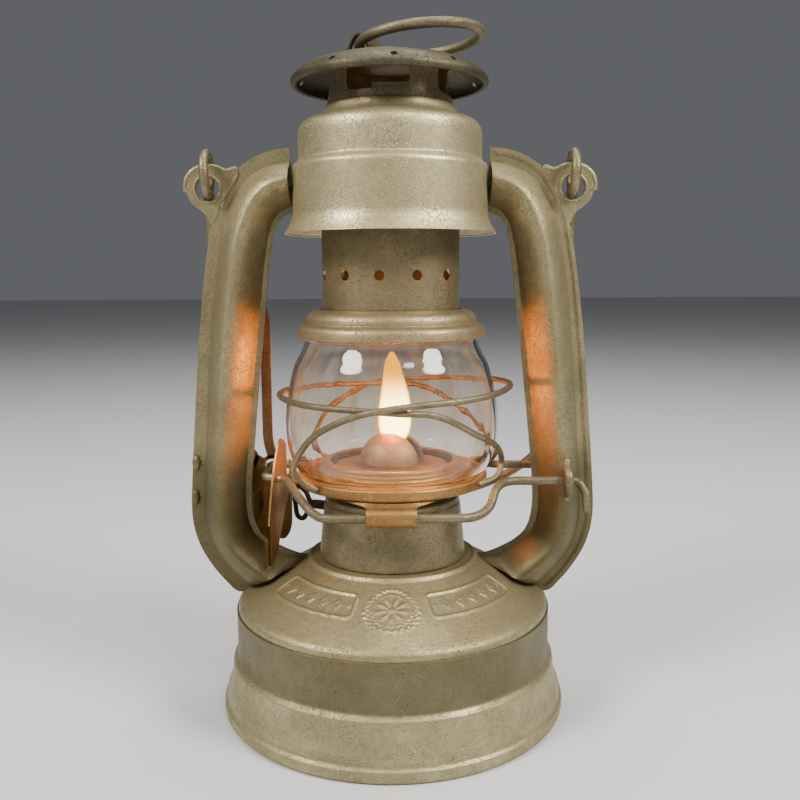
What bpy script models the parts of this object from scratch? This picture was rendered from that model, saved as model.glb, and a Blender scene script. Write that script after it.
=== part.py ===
"""Small tubular oil lantern: fuel tank, wick burner, lifting globe and sprung chimney.

Metres, +Z up. The origin is on the lantern's axis, at the plane it stands on.
The two side tubes lie in the XZ plane and the lantern's front faces -Y.
"""
import math

import bmesh
import bpy
from mathutils import Matrix, Vector

# ---------------------------------------------------------------- driving sizes
GAP = 0.0003            # clearance between pieces that touch
SHEET = 0.0006          # tinned sheet steel
HEAVY_WIRE = 0.00155    # radius of the lift frame
BAIL_WIRE = 0.0017      # radius of the bail and the cap ring
THIN_WIRE = 0.0011      # radius of the globe guard
TURN_STEPS = 24

BASE_RADIUS = 0.0639    # rolled bead that the lantern stands on
WALL_RADIUS = 0.0585    # side wall of the tank
FOOT_HEIGHT = 0.0205    # top of the flared foot
FLOOR_HEIGHT = 0.0080   # inner face of the tank's bottom
SHOULDER_HEIGHT = 0.0383
DRUM_RADIUS = 0.02735   # air drum, at the tank
DRUM_TOP_RADIUS = 0.0250
DRUM_BASE = 0.0569
DRUM_TOP = 0.0800

PLATE_HEIGHT = 0.0862   # globe plate
PLATE_RADIUS = 0.0352
GLOBE_SEAT_RADIUS = 0.0325
GLOBE_RADIUS = 0.0390
GLOBE_HEIGHT = 0.0510
GLOBE_WALL = 0.0014

FLANGE_RADIUS = 0.0343  # lower bell of the chimney
FLANGE_BASE = 0.1378
CHIMNEY_RADIUS = 0.0248
CHIMNEY_HOLE_HEIGHT = 0.1598
CHIMNEY_HOLE_RADIUS = 0.0018
NECK_RADIUS = 0.0220
HOOD_RADIUS = 0.0348
HOOD_UPPER_RADIUS = 0.0326
HOOD_BASE = 0.1745
HOOD_TOP = 0.2180       # rim of the collar round the neck
HOOD_SHOULDER = 0.2134  # top of the hood outside its collar
SKIRT_RADIUS = 0.03795
SPRING_FOOT = 0.1895    # lower end of the chimney's coil
CAP_RADIUS = 0.0347
CAP_BASE = 0.2250
CAP_CROWN = 0.2372

TUBE_DEPTH = 0.0105     # how far each half of a side tube bulges from the seam
TUBE_EDGE = 0.0032      # width of the flat seam flange
EAR_X = 0.0652
EAR_Z = 0.1906
EAR_RADIUS = 0.0078
EAR_HOLE_RADIUS = 0.0042

BAIL_EYE_RADIUS = 0.0072
BAIL_EYE_Z = 0.1956
BAIL_LEAN = math.radians(19.0)
EYE_SPREAD = 0.0013     # sideways step of the eye's coil
BAIL_LEG = 0.098
BAIL_ARCH = 0.040

FRAME_HEIGHT = 0.0867   # lift frame at its hinge
FRAME_DROP = 0.0079     # how far its front and rear runs hang lower
FRAME_HINGE_X = 0.0628
FRAME_REACH = 0.0345    # front and rear runs, from the axis
FRAME_LEFT_X = -0.0465

LEVER_PIVOT = (-0.0560, 0.0900)   # X and Z of the lift lever's pivot
LEVER_Y = 0.0128
LEVER_TOP = 0.1480
RING_RADIUS = 0.0213
RING_HINGE = (-0.0105, 0.2392)    # X and Z of the cap ring's hinge
SPINDLE_HEIGHT = 0.0700
CAP_BOSS_RADIUS = 0.0085

MODEL = bpy.data.collections.new("oil_lantern")
CUTTERS = bpy.data.collections.new("cutters")
FINISHES = {}


# ------------------------------------------------------------- small helpers
def clear_scene():
    for item in list(bpy.data.objects):
        bpy.data.objects.remove(item, do_unlink=True)
    for group in (MODEL, CUTTERS):
        bpy.context.scene.collection.children.link(group)


def finish(name, color, roughness, metallic):
    """One Principled material per finish."""
    if name not in FINISHES:
        material = bpy.data.materials.new(name)
        material.use_nodes = True
        shader = material.node_tree.nodes["Principled BSDF"]
        shader.inputs["Base Color"].default_value = (*color, 1.0)
        shader.inputs["Roughness"].default_value = roughness
        shader.inputs["Metallic"].default_value = metallic
        FINISHES[name] = material
    return FINISHES[name]


def tin():
    return finish("aged_tin", (0.33, 0.31, 0.26), 0.45, 0.9)


def wire_steel():
    return finish("wire_steel", (0.36, 0.34, 0.30), 0.4, 0.95)


def dark_steel():
    return finish("dark_steel", (0.10, 0.09, 0.08), 0.6, 0.8)


def brass():
    return finish("burner_brass", (0.45, 0.28, 0.12), 0.4, 0.9)


def glass():
    return finish("clear_glass", (0.9, 0.9, 0.88), 0.05, 0.0)


def cotton():
    return finish("cotton_wick", (0.75, 0.70, 0.60), 0.9, 0.0)


def gasket():
    return finish("cork_gasket", (0.35, 0.24, 0.15), 0.9, 0.0)


def add_object(name, mesh, material, group=MODEL):
    item = bpy.data.objects.new(name, mesh)
    group.objects.link(item)
    if material:
        mesh.materials.clear()
        mesh.materials.append(material)
    return item


def mesh_from(bm, name, smooth=True):
    mesh = bpy.data.meshes.new(name)
    bm.to_mesh(mesh)
    bm.free()
    if smooth:
        mesh.shade_smooth()
        mesh.set_sharp_from_angle(angle=math.radians(35))
    return mesh


def polyline_mesh(name, points, closed=False):
    bm = bmesh.new()
    corners = [bm.verts.new(point) for point in points]
    pairs = list(zip(corners, corners[1:]))
    if closed:
        pairs.append((corners[-1], corners[0]))
    for pair in pairs:
        bm.edges.new(pair)
    return mesh_from(bm, name, smooth=False)


def screw(item, steps=TURN_STEPS):
    turn = item.modifiers.new("turn", "SCREW")
    turn.axis = "Z"
    turn.steps = steps
    turn.render_steps = steps
    turn.use_merge_vertices = True
    turn.merge_threshold = 0.00001
    turn.use_smooth_shade = True
    return turn


def turned_sheet(name, outline, material, wall=SHEET, steps=TURN_STEPS):
    """A thin turned shell: its outer line (radius, height), top first, and a wall inside it."""
    mesh = polyline_mesh(name, [(radius, 0.0, height) for radius, height in outline])
    item = add_object(name, mesh, material)
    screw(item, steps)
    shell = item.modifiers.new("wall", "SOLIDIFY")
    shell.thickness = wall
    shell.offset = -1.0
    shell.use_even_offset = True
    return item


def turned_solid(name, outline, material, steps=TURN_STEPS):
    """A turned ring or disc from its whole closed section, or one that starts and ends on the axis."""
    on_axis = outline[0][0] == 0.0 and outline[-1][0] == 0.0
    points = [(radius, 0.0, height) for radius, height in outline]
    item = add_object(name, polyline_mesh(name, points, closed=not on_axis), material)
    screw(item, steps)
    return item


def baked(item):
    """The object's evaluated mesh, welded, in place of its modifiers."""
    bpy.context.view_layer.update()
    graph = bpy.context.evaluated_depsgraph_get()
    mesh = bpy.data.meshes.new_from_object(item.evaluated_get(graph))
    bm = bmesh.new()
    bm.from_mesh(mesh)
    bmesh.ops.remove_doubles(bm, verts=bm.verts, dist=0.000005)
    bm.to_mesh(mesh)
    bm.free()
    name, place, groups = item.name, item.matrix_world.copy(), list(item.users_collection)
    material = item.active_material
    bpy.data.objects.remove(item, do_unlink=True)
    solid = bpy.data.objects.new(name, mesh)
    for group in groups:
        group.objects.link(solid)
    solid.matrix_world = place
    if material and not mesh.materials:
        mesh.materials.append(material)
    return solid


def wire(name, points, radius, material, closed=False, sides=2):
    """A round wire along its points, as a closed mesh."""
    curve = bpy.data.curves.new(name, "CURVE")
    curve.dimensions = "3D"
    curve.bevel_depth = radius
    curve.bevel_resolution = sides
    curve.use_fill_caps = not closed
    spline = curve.splines.new("POLY")
    spline.points.add(len(points) - 1)
    for spot, point in zip(spline.points, points):
        spot.co = (*point, 1.0)
    spline.use_cyclic_u = closed
    item = bpy.data.objects.new(name, curve)
    MODEL.objects.link(item)
    curve.materials.append(material)
    return baked(item)


def smooth_path(points, per_span=5, closed=False):
    """Points along a Catmull-Rom curve through the given ones."""
    knots = [Vector(point) for point in points]
    count = len(knots)
    spans = count if closed else count - 1
    path = []
    for index in range(spans):
        before = knots[(index - 1) % count] if closed or index else knots[0] * 2 - knots[1]
        start = knots[index]
        stop = knots[(index + 1) % count]
        if closed or index + 2 < count:
            after = knots[(index + 2) % count]
        else:
            after = stop * 2 - start
        for step in range(per_span):
            t = step / per_span
            path.append(0.5 * (2 * start + (stop - before) * t
                               + (2 * before - 5 * start + 4 * stop - after) * t * t
                               + (3 * start - before - 3 * stop + after) * t ** 3))
    if not closed:
        path.append(knots[-1])
    return path


def plate(name, outline, thickness, material, matrix, group=MODEL, holes=()):
    """A flat sheet from its outline; holes are (x, y, radius). Made a mesh, placed by matrix."""
    curve = bpy.data.curves.new(name, "CURVE")
    curve.dimensions = "2D"
    curve.fill_mode = "BOTH"
    curve.extrude = thickness / 2
    rings = [outline]
    for x, y, radius in holes:
        rings.append([(x + radius * math.cos(turn * math.tau / 16),
                       y + radius * math.sin(turn * math.tau / 16)) for turn in range(16)])
    for ring in rings:
        spline = curve.splines.new("POLY")
        spline.points.add(len(ring) - 1)
        for spot, (x, y) in zip(spline.points, ring):
            spot.co = (x, y, 0.0, 1.0)
        spline.use_cyclic_u = True
    item = bpy.data.objects.new(name, curve)
    group.objects.link(item)
    if material:
        curve.materials.append(material)
    item.matrix_world = matrix
    return baked(item)


def rounded(corners, radius, steps=4):
    """A polygon's corners, each turned into an arc."""
    path = []
    count = len(corners)
    for index, corner in enumerate(corners):
        here = Vector(corner)
        to_last = (Vector(corners[index - 1]) - here).normalized()
        to_next = (Vector(corners[(index + 1) % count]) - here).normalized()
        half = to_last.angle(to_next) / 2
        reach = radius / math.tan(half)
        start, stop = here + to_last * reach, here + to_next * reach
        center = here + (to_last + to_next).normalized() * (radius / math.sin(half))
        for step in range(steps + 1):
            arm = (start - center).lerp(stop - center, step / steps).normalized()
            path.append(tuple(center + arm * radius))
    return path


def cut(item, cutter, operation="DIFFERENCE"):
    """An exact boolean, with its tool kept out of the model."""
    for group in list(cutter.users_collection):
        group.objects.unlink(cutter)
    CUTTERS.objects.link(cutter)
    cutter.hide_render = True
    cutter.display_type = "WIRE"
    change = item.modifiers.new("cut", "BOOLEAN")
    change.operation = operation
    change.object = cutter
    change.solver = "EXACT"


def round_cutter(name, radius, length, place, sides=12):
    bm = bmesh.new()
    bmesh.ops.create_cone(bm, cap_ends=True, segments=sides, radius1=radius, radius2=radius, depth=length)
    bmesh.ops.transform(bm, matrix=place, verts=bm.verts)
    return add_object(name, mesh_from(bm, name, smooth=False), None, CUTTERS)


def ring_of_cutters(name, count, first, radius, height, hole_radius, length, sides=10):
    """Radial round holes in a ring, as one cutter."""
    bm = bmesh.new()
    for index in range(count):
        turn = Matrix.Rotation(first + index * math.tau / count, 4, "Z")
        place = turn @ Matrix.Translation((0, -radius, height)) @ Matrix.Rotation(math.pi / 2, 4, "X")
        bmesh.ops.create_cone(bm, cap_ends=True, segments=sides, radius1=hole_radius,
                              radius2=hole_radius, depth=length, matrix=place)
    return add_object(name, mesh_from(bm, name, smooth=False), None, CUTTERS)


def pin(name, radius, length, place, material, head=0.0, sides=12):
    """A round pin along local Z, with a head at each end where head is above zero."""
    half = length / 2
    outline = [(0.0, half)]
    if head:
        outline += [(head, half), (head, half - 0.0008)]
    outline += [(radius, half - (0.0008 if head else 0.0)), (radius, -half + (0.0008 if head else 0.0))]
    if head:
        outline += [(head, -half + 0.0008), (head, -half)]
    outline.append((0.0, -half))
    item = turned_solid(name, outline, material, sides)
    item.matrix_world = place
    return item


def facing_y(x, y, z):
    """Local XY plane stood up in the XZ plane, its normal along -Y."""
    return Matrix.Translation((x, y, z)) @ Matrix.Rotation(math.pi / 2, 4, "X")


def facing_x(x, y, z):
    """Local XY plane as the YZ plane, its normal along +X."""
    return Matrix.Translation((x, y, z)) @ Matrix(((0, 0, 1, 0), (1, 0, 0, 0), (0, 1, 0, 0), (0, 0, 0, 1)))


# ------------------------------------------------------------------ the tank
SKIRT_INSET = SHEET + GAP + 0.0002          # the tank top's skirt, inside the wall
TOP_RADIUS = WALL_RADIUS - 0.0023           # where the slope rolls over into the skirt
TOP_EDGE_HEIGHT = SHOULDER_HEIGHT + 0.0033
DECK_HEIGHT = DRUM_BASE - GAP               # flat seat of the air drum
DECK_RADIUS = DRUM_RADIUS + 0.0020
SLOPE = (DECK_HEIGHT - TOP_EDGE_HEIGHT) / (TOP_RADIUS - DECK_RADIUS)
FILLER_SHARE = 0.5643                       # the filler's place across the slope
CAP_Y = DECK_RADIUS + FILLER_SHARE * (TOP_RADIUS - DECK_RADIUS)   # at the rear


def tank_top_height(radius):
    """Height of the sloping tank top at a radius."""
    return DECK_HEIGHT - SLOPE * (radius - DECK_RADIUS)


def make_tank():
    hole = 0.0110
    top = turned_sheet("tank_top", [
        (hole, DECK_HEIGHT), (DECK_RADIUS, DECK_HEIGHT),
        (TOP_RADIUS, TOP_EDGE_HEIGHT), (WALL_RADIUS - SKIRT_INSET, TOP_EDGE_HEIGHT - 0.0016),
        (WALL_RADIUS - SKIRT_INSET, SHOULDER_HEIGHT - 0.0045)], tin())
    mouth = round_cutter("filler_hole", CAP_BOSS_RADIUS - SHEET, 0.02, filler_place(0.0))
    cut(top, mouth)

    foot = FOOT_HEIGHT
    turned_sheet("tank_wall", [
        (WALL_RADIUS, SHOULDER_HEIGHT), (WALL_RADIUS, foot), (WALL_RADIUS + 0.0016, foot - 0.0012),
        (WALL_RADIUS + 0.0026, foot - 0.0050), (BASE_RADIUS - 0.0014, 0.0085),
        (BASE_RADIUS, 0.0042), (BASE_RADIUS, 0.0012), (BASE_RADIUS - 0.0010, 0.0),
        (BASE_RADIUS - 0.0030, 0.0)], tin())

    rim = BASE_RADIUS - 0.0014 - SHEET - 0.0005
    turned_solid("tank_floor", [
        (0.0, FLOOR_HEIGHT), (rim, FLOOR_HEIGHT), (rim, FLOOR_HEIGHT - 0.0030),
        (rim - SHEET, FLOOR_HEIGHT - 0.0030), (rim - SHEET, FLOOR_HEIGHT - SHEET),
        (0.0, FLOOR_HEIGHT - SHEET)], tin())


def filler_place(lift):
    """A frame on the tank's rear slope, its Z along the slope's normal."""
    tilt = math.atan(SLOPE)
    spot = Vector((0.0, CAP_Y, tank_top_height(CAP_Y)))
    normal = Vector((0.0, math.sin(tilt), math.cos(tilt)))
    return Matrix.Translation(spot + normal * lift) @ Matrix.Rotation(-tilt, 4, "X")


def make_filler():
    neck = CAP_BOSS_RADIUS
    boss = turned_solid("filler_neck", [
        (neck - SHEET - GAP, 0.0050), (neck - SHEET - GAP, -0.0030), (neck - 2 * SHEET - GAP, -0.0030),
        (neck - 2 * SHEET - GAP, 0.0050)], tin(), 20)
    boss.matrix_world = filler_place(0.0)
    seal = turned_solid("filler_gasket", [
        (neck - SHEET - GAP, 0.0065), (neck - SHEET - GAP, 0.0053), (0.0040, 0.0053), (0.0040, 0.0065)],
        gasket(), 20)
    seal.matrix_world = filler_place(0.0)
    cap_radius = neck + 0.0012
    cap = turned_solid("filler_cap", [
        (0.0, 0.0085), (cap_radius - 0.0012, 0.0085), (cap_radius, 0.0075), (cap_radius, 0.0008),
        (cap_radius - 0.0016, 0.0008), (cap_radius - 0.0016, 0.0068), (0.0, 0.0068)], tin(), 24)
    cap.matrix_world = filler_place(0.0)


# ---------------------------------------------------------------- the burner
SLOT_TURN = math.radians(-25.0)    # the wick's width, and its spindle, run this way
CONE_RADIUS = 0.0118
WICK_HALF = 0.0006                  # half the wick's thickness
SPROCKET_RADIUS = 0.0032
SPINDLE_OFFSET = WICK_HALF + GAP + SPROCKET_RADIUS
CONE_BASE = PLATE_HEIGHT + 0.0052


def make_burner():
    drum = turned_sheet("burner_drum", [
        (DRUM_TOP_RADIUS - 0.0030, DRUM_TOP), (DRUM_TOP_RADIUS, DRUM_TOP - 0.0012),
        (DRUM_RADIUS, DRUM_BASE)], tin())
    cut(drum, round_cutter("spindle_hole", THIN_WIRE + 2 * GAP, 0.02,
                           along_slot(SPINDLE_HEIGHT) @ Matrix.Translation((-DRUM_RADIUS, SPINDLE_OFFSET, 0))
                           @ Matrix.Rotation(math.pi / 2, 4, "Y")))
    inner = DRUM_TOP_RADIUS - 0.0040
    turned_sheet("air_screen", [
        (0.0075, CONE_BASE - 0.0012), (inner, CONE_BASE - 0.0012), (inner, DRUM_TOP + 0.0008),
        (inner + 0.0008, DRUM_TOP + GAP)], brass())

    turned_solid("burner_body", [
        (0.0105, 0.0660), (0.0105, 0.0590), (0.0098, 0.0572), (0.0098, 0.0530),
        (0.0080, 0.0530), (0.0080, 0.0660)], brass(), 24)

    for side, name in ((-1, "burner_cone_front"), (1, "burner_cone_rear")):
        bm = bmesh.new()
        bmesh.ops.create_uvsphere(bm, u_segments=20, v_segments=12, radius=CONE_RADIUS)
        for plane, normal in (((0, 0, 0), (0, 0, -1)), ((0, side * 0.0022, 0), (0, -side, 0))):
            cut_parts = list(bm.verts) + list(bm.edges) + list(bm.faces)
            bmesh.ops.bisect_plane(bm, geom=cut_parts, plane_co=plane, plane_no=normal, clear_outer=True)
        half = add_object(name, mesh_from(bm, name), brass())
        shell = half.modifiers.new("wall", "SOLIDIFY")
        shell.thickness = SHEET
        shell.offset = -1.0
        half.matrix_world = along_slot(CONE_BASE)

    tube = bmesh.new()
    bmesh.ops.create_cube(tube, size=1.0, matrix=Matrix.Diagonal((0.0140, 0.0032, 0.0350, 1)))
    bmesh.ops.delete(tube, geom=[face for face in tube.faces if abs(face.normal.z) > 0.5], context="FACES_ONLY")
    holder = add_object("wick_tube", mesh_from(tube, "wick_tube", smooth=False), brass())
    shell = holder.modifiers.new("wall", "SOLIDIFY")
    shell.thickness = SHEET
    shell.offset = -1.0
    shell.use_even_offset = True
    holder.matrix_world = along_slot(0.0795)
    for name, spot in (("sprocket_slot_a", -0.0034), ("sprocket_slot_b", 0.0034)):
        room = bmesh.new()
        bmesh.ops.create_cube(room, size=1.0, matrix=along_slot(SPINDLE_HEIGHT)
                              @ Matrix.Translation((spot, SPINDLE_OFFSET / 2 + WICK_HALF, 0))
                              @ Matrix.Diagonal((0.0018, SPINDLE_OFFSET, 2 * SPROCKET_RADIUS + 2 * GAP, 1)))
        cut(holder, add_object(name, mesh_from(room, name, smooth=False), None))

    band = bmesh.new()
    bmesh.ops.create_cube(band, size=1.0, matrix=Matrix.Diagonal((0.0120, 2 * WICK_HALF, 0.0780, 1)))
    wick = add_object("wick", mesh_from(band, "wick", smooth=False), cotton())
    wick.matrix_world = along_slot(0.0595)


def along_slot(height):
    """A frame whose X runs along the wick's width."""
    return Matrix.Translation((0, 0, height)) @ Matrix.Rotation(SLOT_TURN, 4, "Z")


def make_spindle():
    """The wick raiser: a rod through the drum's side, ending in a bent wire key."""
    y = SPINDLE_OFFSET
    rod = [(0.0075, y, 0), (-0.0200, y, 0), (-0.0340, y, 0), (-0.0372, y, 0)]
    key = [(-0.0388, y, -0.0022), (-0.0400, y, -0.0046), (-0.0430, y, -0.0052), (-0.0444, y, -0.0030),
           (-0.0444, y, 0.0030), (-0.0430, y, 0.0052), (-0.0404, y, 0.0050), (-0.0392, y, 0.0030)]
    place = along_slot(SPINDLE_HEIGHT)
    wire("wick_spindle", [place @ Vector(point) for point in rod + key], THIN_WIRE, dark_steel())
    bore = THIN_WIRE + GAP
    for name, spot in (("wick_sprocket_a", -0.0034), ("wick_sprocket_b", 0.0034)):
        wheel = turned_solid(name, [
            (SPROCKET_RADIUS, 0.0005), (SPROCKET_RADIUS, -0.0005), (bore, -0.0005), (bore, 0.0005)],
            dark_steel(), 12)
        wheel.matrix_world = (place @ Matrix.Translation((spot, y, 0))
                              @ Matrix.Rotation(math.pi / 2, 4, "Y"))


# ------------------------------------------------------- globe and lifting gear
SLEEVE_LENGTH = 0.0170
SLEEVE_HALF = (0.0020, 0.0027)      # inner half width and half height
SLEEVE_HEIGHT = FRAME_HEIGHT - FRAME_DROP


def make_gallery():
    bead = 0.0014
    inner = DRUM_TOP_RADIUS - 0.0024
    turned_sheet("globe_plate", [
        (inner, PLATE_HEIGHT + 0.0062), (inner + 0.0022, PLATE_HEIGHT + 0.0062),
        (inner + 0.0024, PLATE_HEIGHT + 0.0006), (GLOBE_SEAT_RADIUS + 0.0012, PLATE_HEIGHT + 0.0006),
        (GLOBE_SEAT_RADIUS + 0.0016, PLATE_HEIGHT + 0.0018), (PLATE_RADIUS - 0.0004, PLATE_HEIGHT + 0.0018),
        (PLATE_RADIUS, PLATE_HEIGHT + bead - 0.0006), (PLATE_RADIUS, PLATE_HEIGHT - bead),
        (PLATE_RADIUS - 0.0008, PLATE_HEIGHT - bead - 0.0006)], tin())

    half_wide, half_high = SLEEVE_HALF
    outer = rounded([(-half_wide - SHEET, -half_high - SHEET), (half_wide + SHEET, -half_high - SHEET),
                     (half_wide + SHEET, half_high + SHEET), (-half_wide - SHEET, half_high + SHEET)],
                    half_wide + SHEET * 0.9, 3)
    inside = rounded([(-half_wide, -half_high), (half_wide, -half_high),
                      (half_wide, half_high), (-half_wide, half_high)], half_wide * 0.95, 3)
    tab_top = PLATE_HEIGHT - bead - 0.0006 - GAP
    for side, name in ((-1, "front_hanger"), (1, "rear_hanger")):
        place = facing_x(0.0, side * FRAME_REACH, SLEEVE_HEIGHT)
        sleeve = plate(name, outer, SLEEVE_LENGTH, tin(), place)
        bore = plate(name + "_bore", inside, SLEEVE_LENGTH * 1.5, None, place)
        cut(sleeve, bore)
        low = SLEEVE_HEIGHT + half_high + SHEET * 0.4
        tab = bmesh.new()
        bmesh.ops.create_cube(tab, size=1.0, matrix=Matrix.Translation(
            (0, side * (FRAME_REACH - 0.0002), (low + tab_top) / 2))
            @ Matrix.Diagonal((SLEEVE_LENGTH * 0.9, SHEET * 1.6, tab_top - low, 1)))
        cut(sleeve, add_object(name + "_tab", mesh_from(tab, name, smooth=False), None), "UNION")


def guard_points(name):
    """One guard wire: both ends low on the plate's rim at its own side, high beyond the globe."""
    reach = GLOBE_RADIUS + THIN_WIRE + 3 * GAP
    rim = PLATE_RADIUS + THIN_WIRE + GAP
    side = 1
    route = [(60, rim, 0.0004), (69, rim + 0.0034, 0.0022), (75, reach, 0.0070), (64, reach, 0.0140),
             (45, reach, 0.0200), (22, reach, 0.0278), (0, reach, 0.0294), (-45, reach, 0.0304),
             (-90, reach, 0.0308)]
    if name == "b":
        side = -1
        over = reach + 2 * THIN_WIRE + GAP
        route = [(46, rim, 0.0004), (51, rim + 0.0034, 0.0034), (50, over, 0.0080), (46, over, 0.0135),
                 (35, over, 0.0213), (18, over, 0.0277), (0, over, 0.0310), (-45, over, 0.0330),
                 (-90, over, 0.0340)]
    front = [(side * radius * math.sin(math.radians(turn)), -radius * math.cos(math.radians(turn)),
              PLATE_HEIGHT + lift) for turn, radius, lift in route]
    return front + [(x, -y, z) for x, y, z in reversed(front[:-1])]


def make_guard():
    for name in "ab":
        wire("guard_wire_" + name, smooth_path(guard_points(name), 2), THIN_WIRE, wire_steel(), sides=1)


def make_globe():
    base = PLATE_HEIGHT + 0.0006 + GAP
    seat, belly = GLOBE_SEAT_RADIUS, GLOBE_RADIUS
    top = FLANGE_RADIUS - 0.0030
    turned_sheet("globe", [
        (top - 0.0006, base + GLOBE_HEIGHT), (top, base + GLOBE_HEIGHT - 0.0020),
        (top + 0.0042, base + GLOBE_HEIGHT * 0.78), (belly - 0.0010, base + GLOBE_HEIGHT * 0.58),
        (belly, base + GLOBE_HEIGHT * 0.40), (belly - 0.0016, base + GLOBE_HEIGHT * 0.22),
        (seat + 0.0018, base + GLOBE_HEIGHT * 0.07), (seat, base)], glass(), GLOBE_WALL)


def make_lift_frame():
    """A wire frame round the drum: hinged at the right tube, lifted at its left end."""
    low, high = FRAME_HEIGHT - FRAME_DROP, FRAME_HEIGHT
    reach, tube_y = FRAME_REACH, TUBE_DEPTH + SHEET + HEAVY_WIRE + 3 * GAP
    left = FRAME_LEFT_X
    front = [(0.0695, -tube_y - 0.0030, high - 0.0098), (0.0690, -tube_y - 0.0022, high - 0.0040),
             (FRAME_HINGE_X + 0.0040, -tube_y - 0.0004, high - 0.0008), (FRAME_HINGE_X, -tube_y, high),
             (0.0420, -tube_y - 0.0010, high), (0.0368, -tube_y - 0.0070, high - 0.0012),
             (0.0338, -0.0270, low + 0.0020), (0.0285, -0.0322, low), (0.0200, -reach, low),
             (0.0, -reach, low), (-0.0200, -reach, low), (-0.0262, -0.0310, low + 0.0006),
             (-0.0318, -0.0235, low + 0.0040), (-0.0362, -0.0150, high - 0.0010),
             (-0.0395, -0.0082, high - 0.0004)]
    end = [(left, -0.0050, high), (left, 0.0000, high), (left, 0.0090, high), (left, LEVER_Y + 0.0035, high)]
    rear = [(-0.0362, 0.0235, high - 0.0020), (-0.0290, 0.0300, low + 0.0010), (-0.0200, reach, low),
            (0.0, reach, low), (0.0200, reach, low), (0.0285, 0.0322, low), (0.0338, 0.0270, low + 0.0020),
            (0.0368, tube_y + 0.0070, high - 0.0012), (0.0420, tube_y + 0.0010, high),
            (FRAME_HINGE_X, tube_y, high), (FRAME_HINGE_X + 0.0050, tube_y, high)]
    wire("lift_frame", front + end + rear, HEAVY_WIRE, wire_steel())


def make_staples():
    """Wire loops on the right tube that hold the lift frame: the frame's hinge."""
    base = TUBE_DEPTH + SHEET + 2 * GAP
    out = base + 2 * HEAVY_WIRE + 5 * GAP
    for side, name in ((-1, "front_staple"), (1, "rear_staple")):
        spread = HEAVY_WIRE * 2 + 6 * GAP
        points = [(FRAME_HINGE_X, side * (base + THIN_WIRE), FRAME_HEIGHT - spread - 0.0018),
                  (FRAME_HINGE_X, side * (base + THIN_WIRE + 0.0012), FRAME_HEIGHT - spread),
                  (FRAME_HINGE_X, side * (out + THIN_WIRE), FRAME_HEIGHT - spread * 0.55),
                  (FRAME_HINGE_X, side * (out + THIN_WIRE + 0.0002), FRAME_HEIGHT),
                  (FRAME_HINGE_X, side * (out + THIN_WIRE), FRAME_HEIGHT + spread * 0.55),
                  (FRAME_HINGE_X, side * (base + THIN_WIRE + 0.0012), FRAME_HEIGHT + spread),
                  (FRAME_HINGE_X, side * (base + THIN_WIRE), FRAME_HEIGHT + spread + 0.0018)]
        wire(name, smooth_path(points, 2), THIN_WIRE, wire_steel())


BRACKET_WALL = 0.0008
LEAF_X = -0.0408


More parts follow.
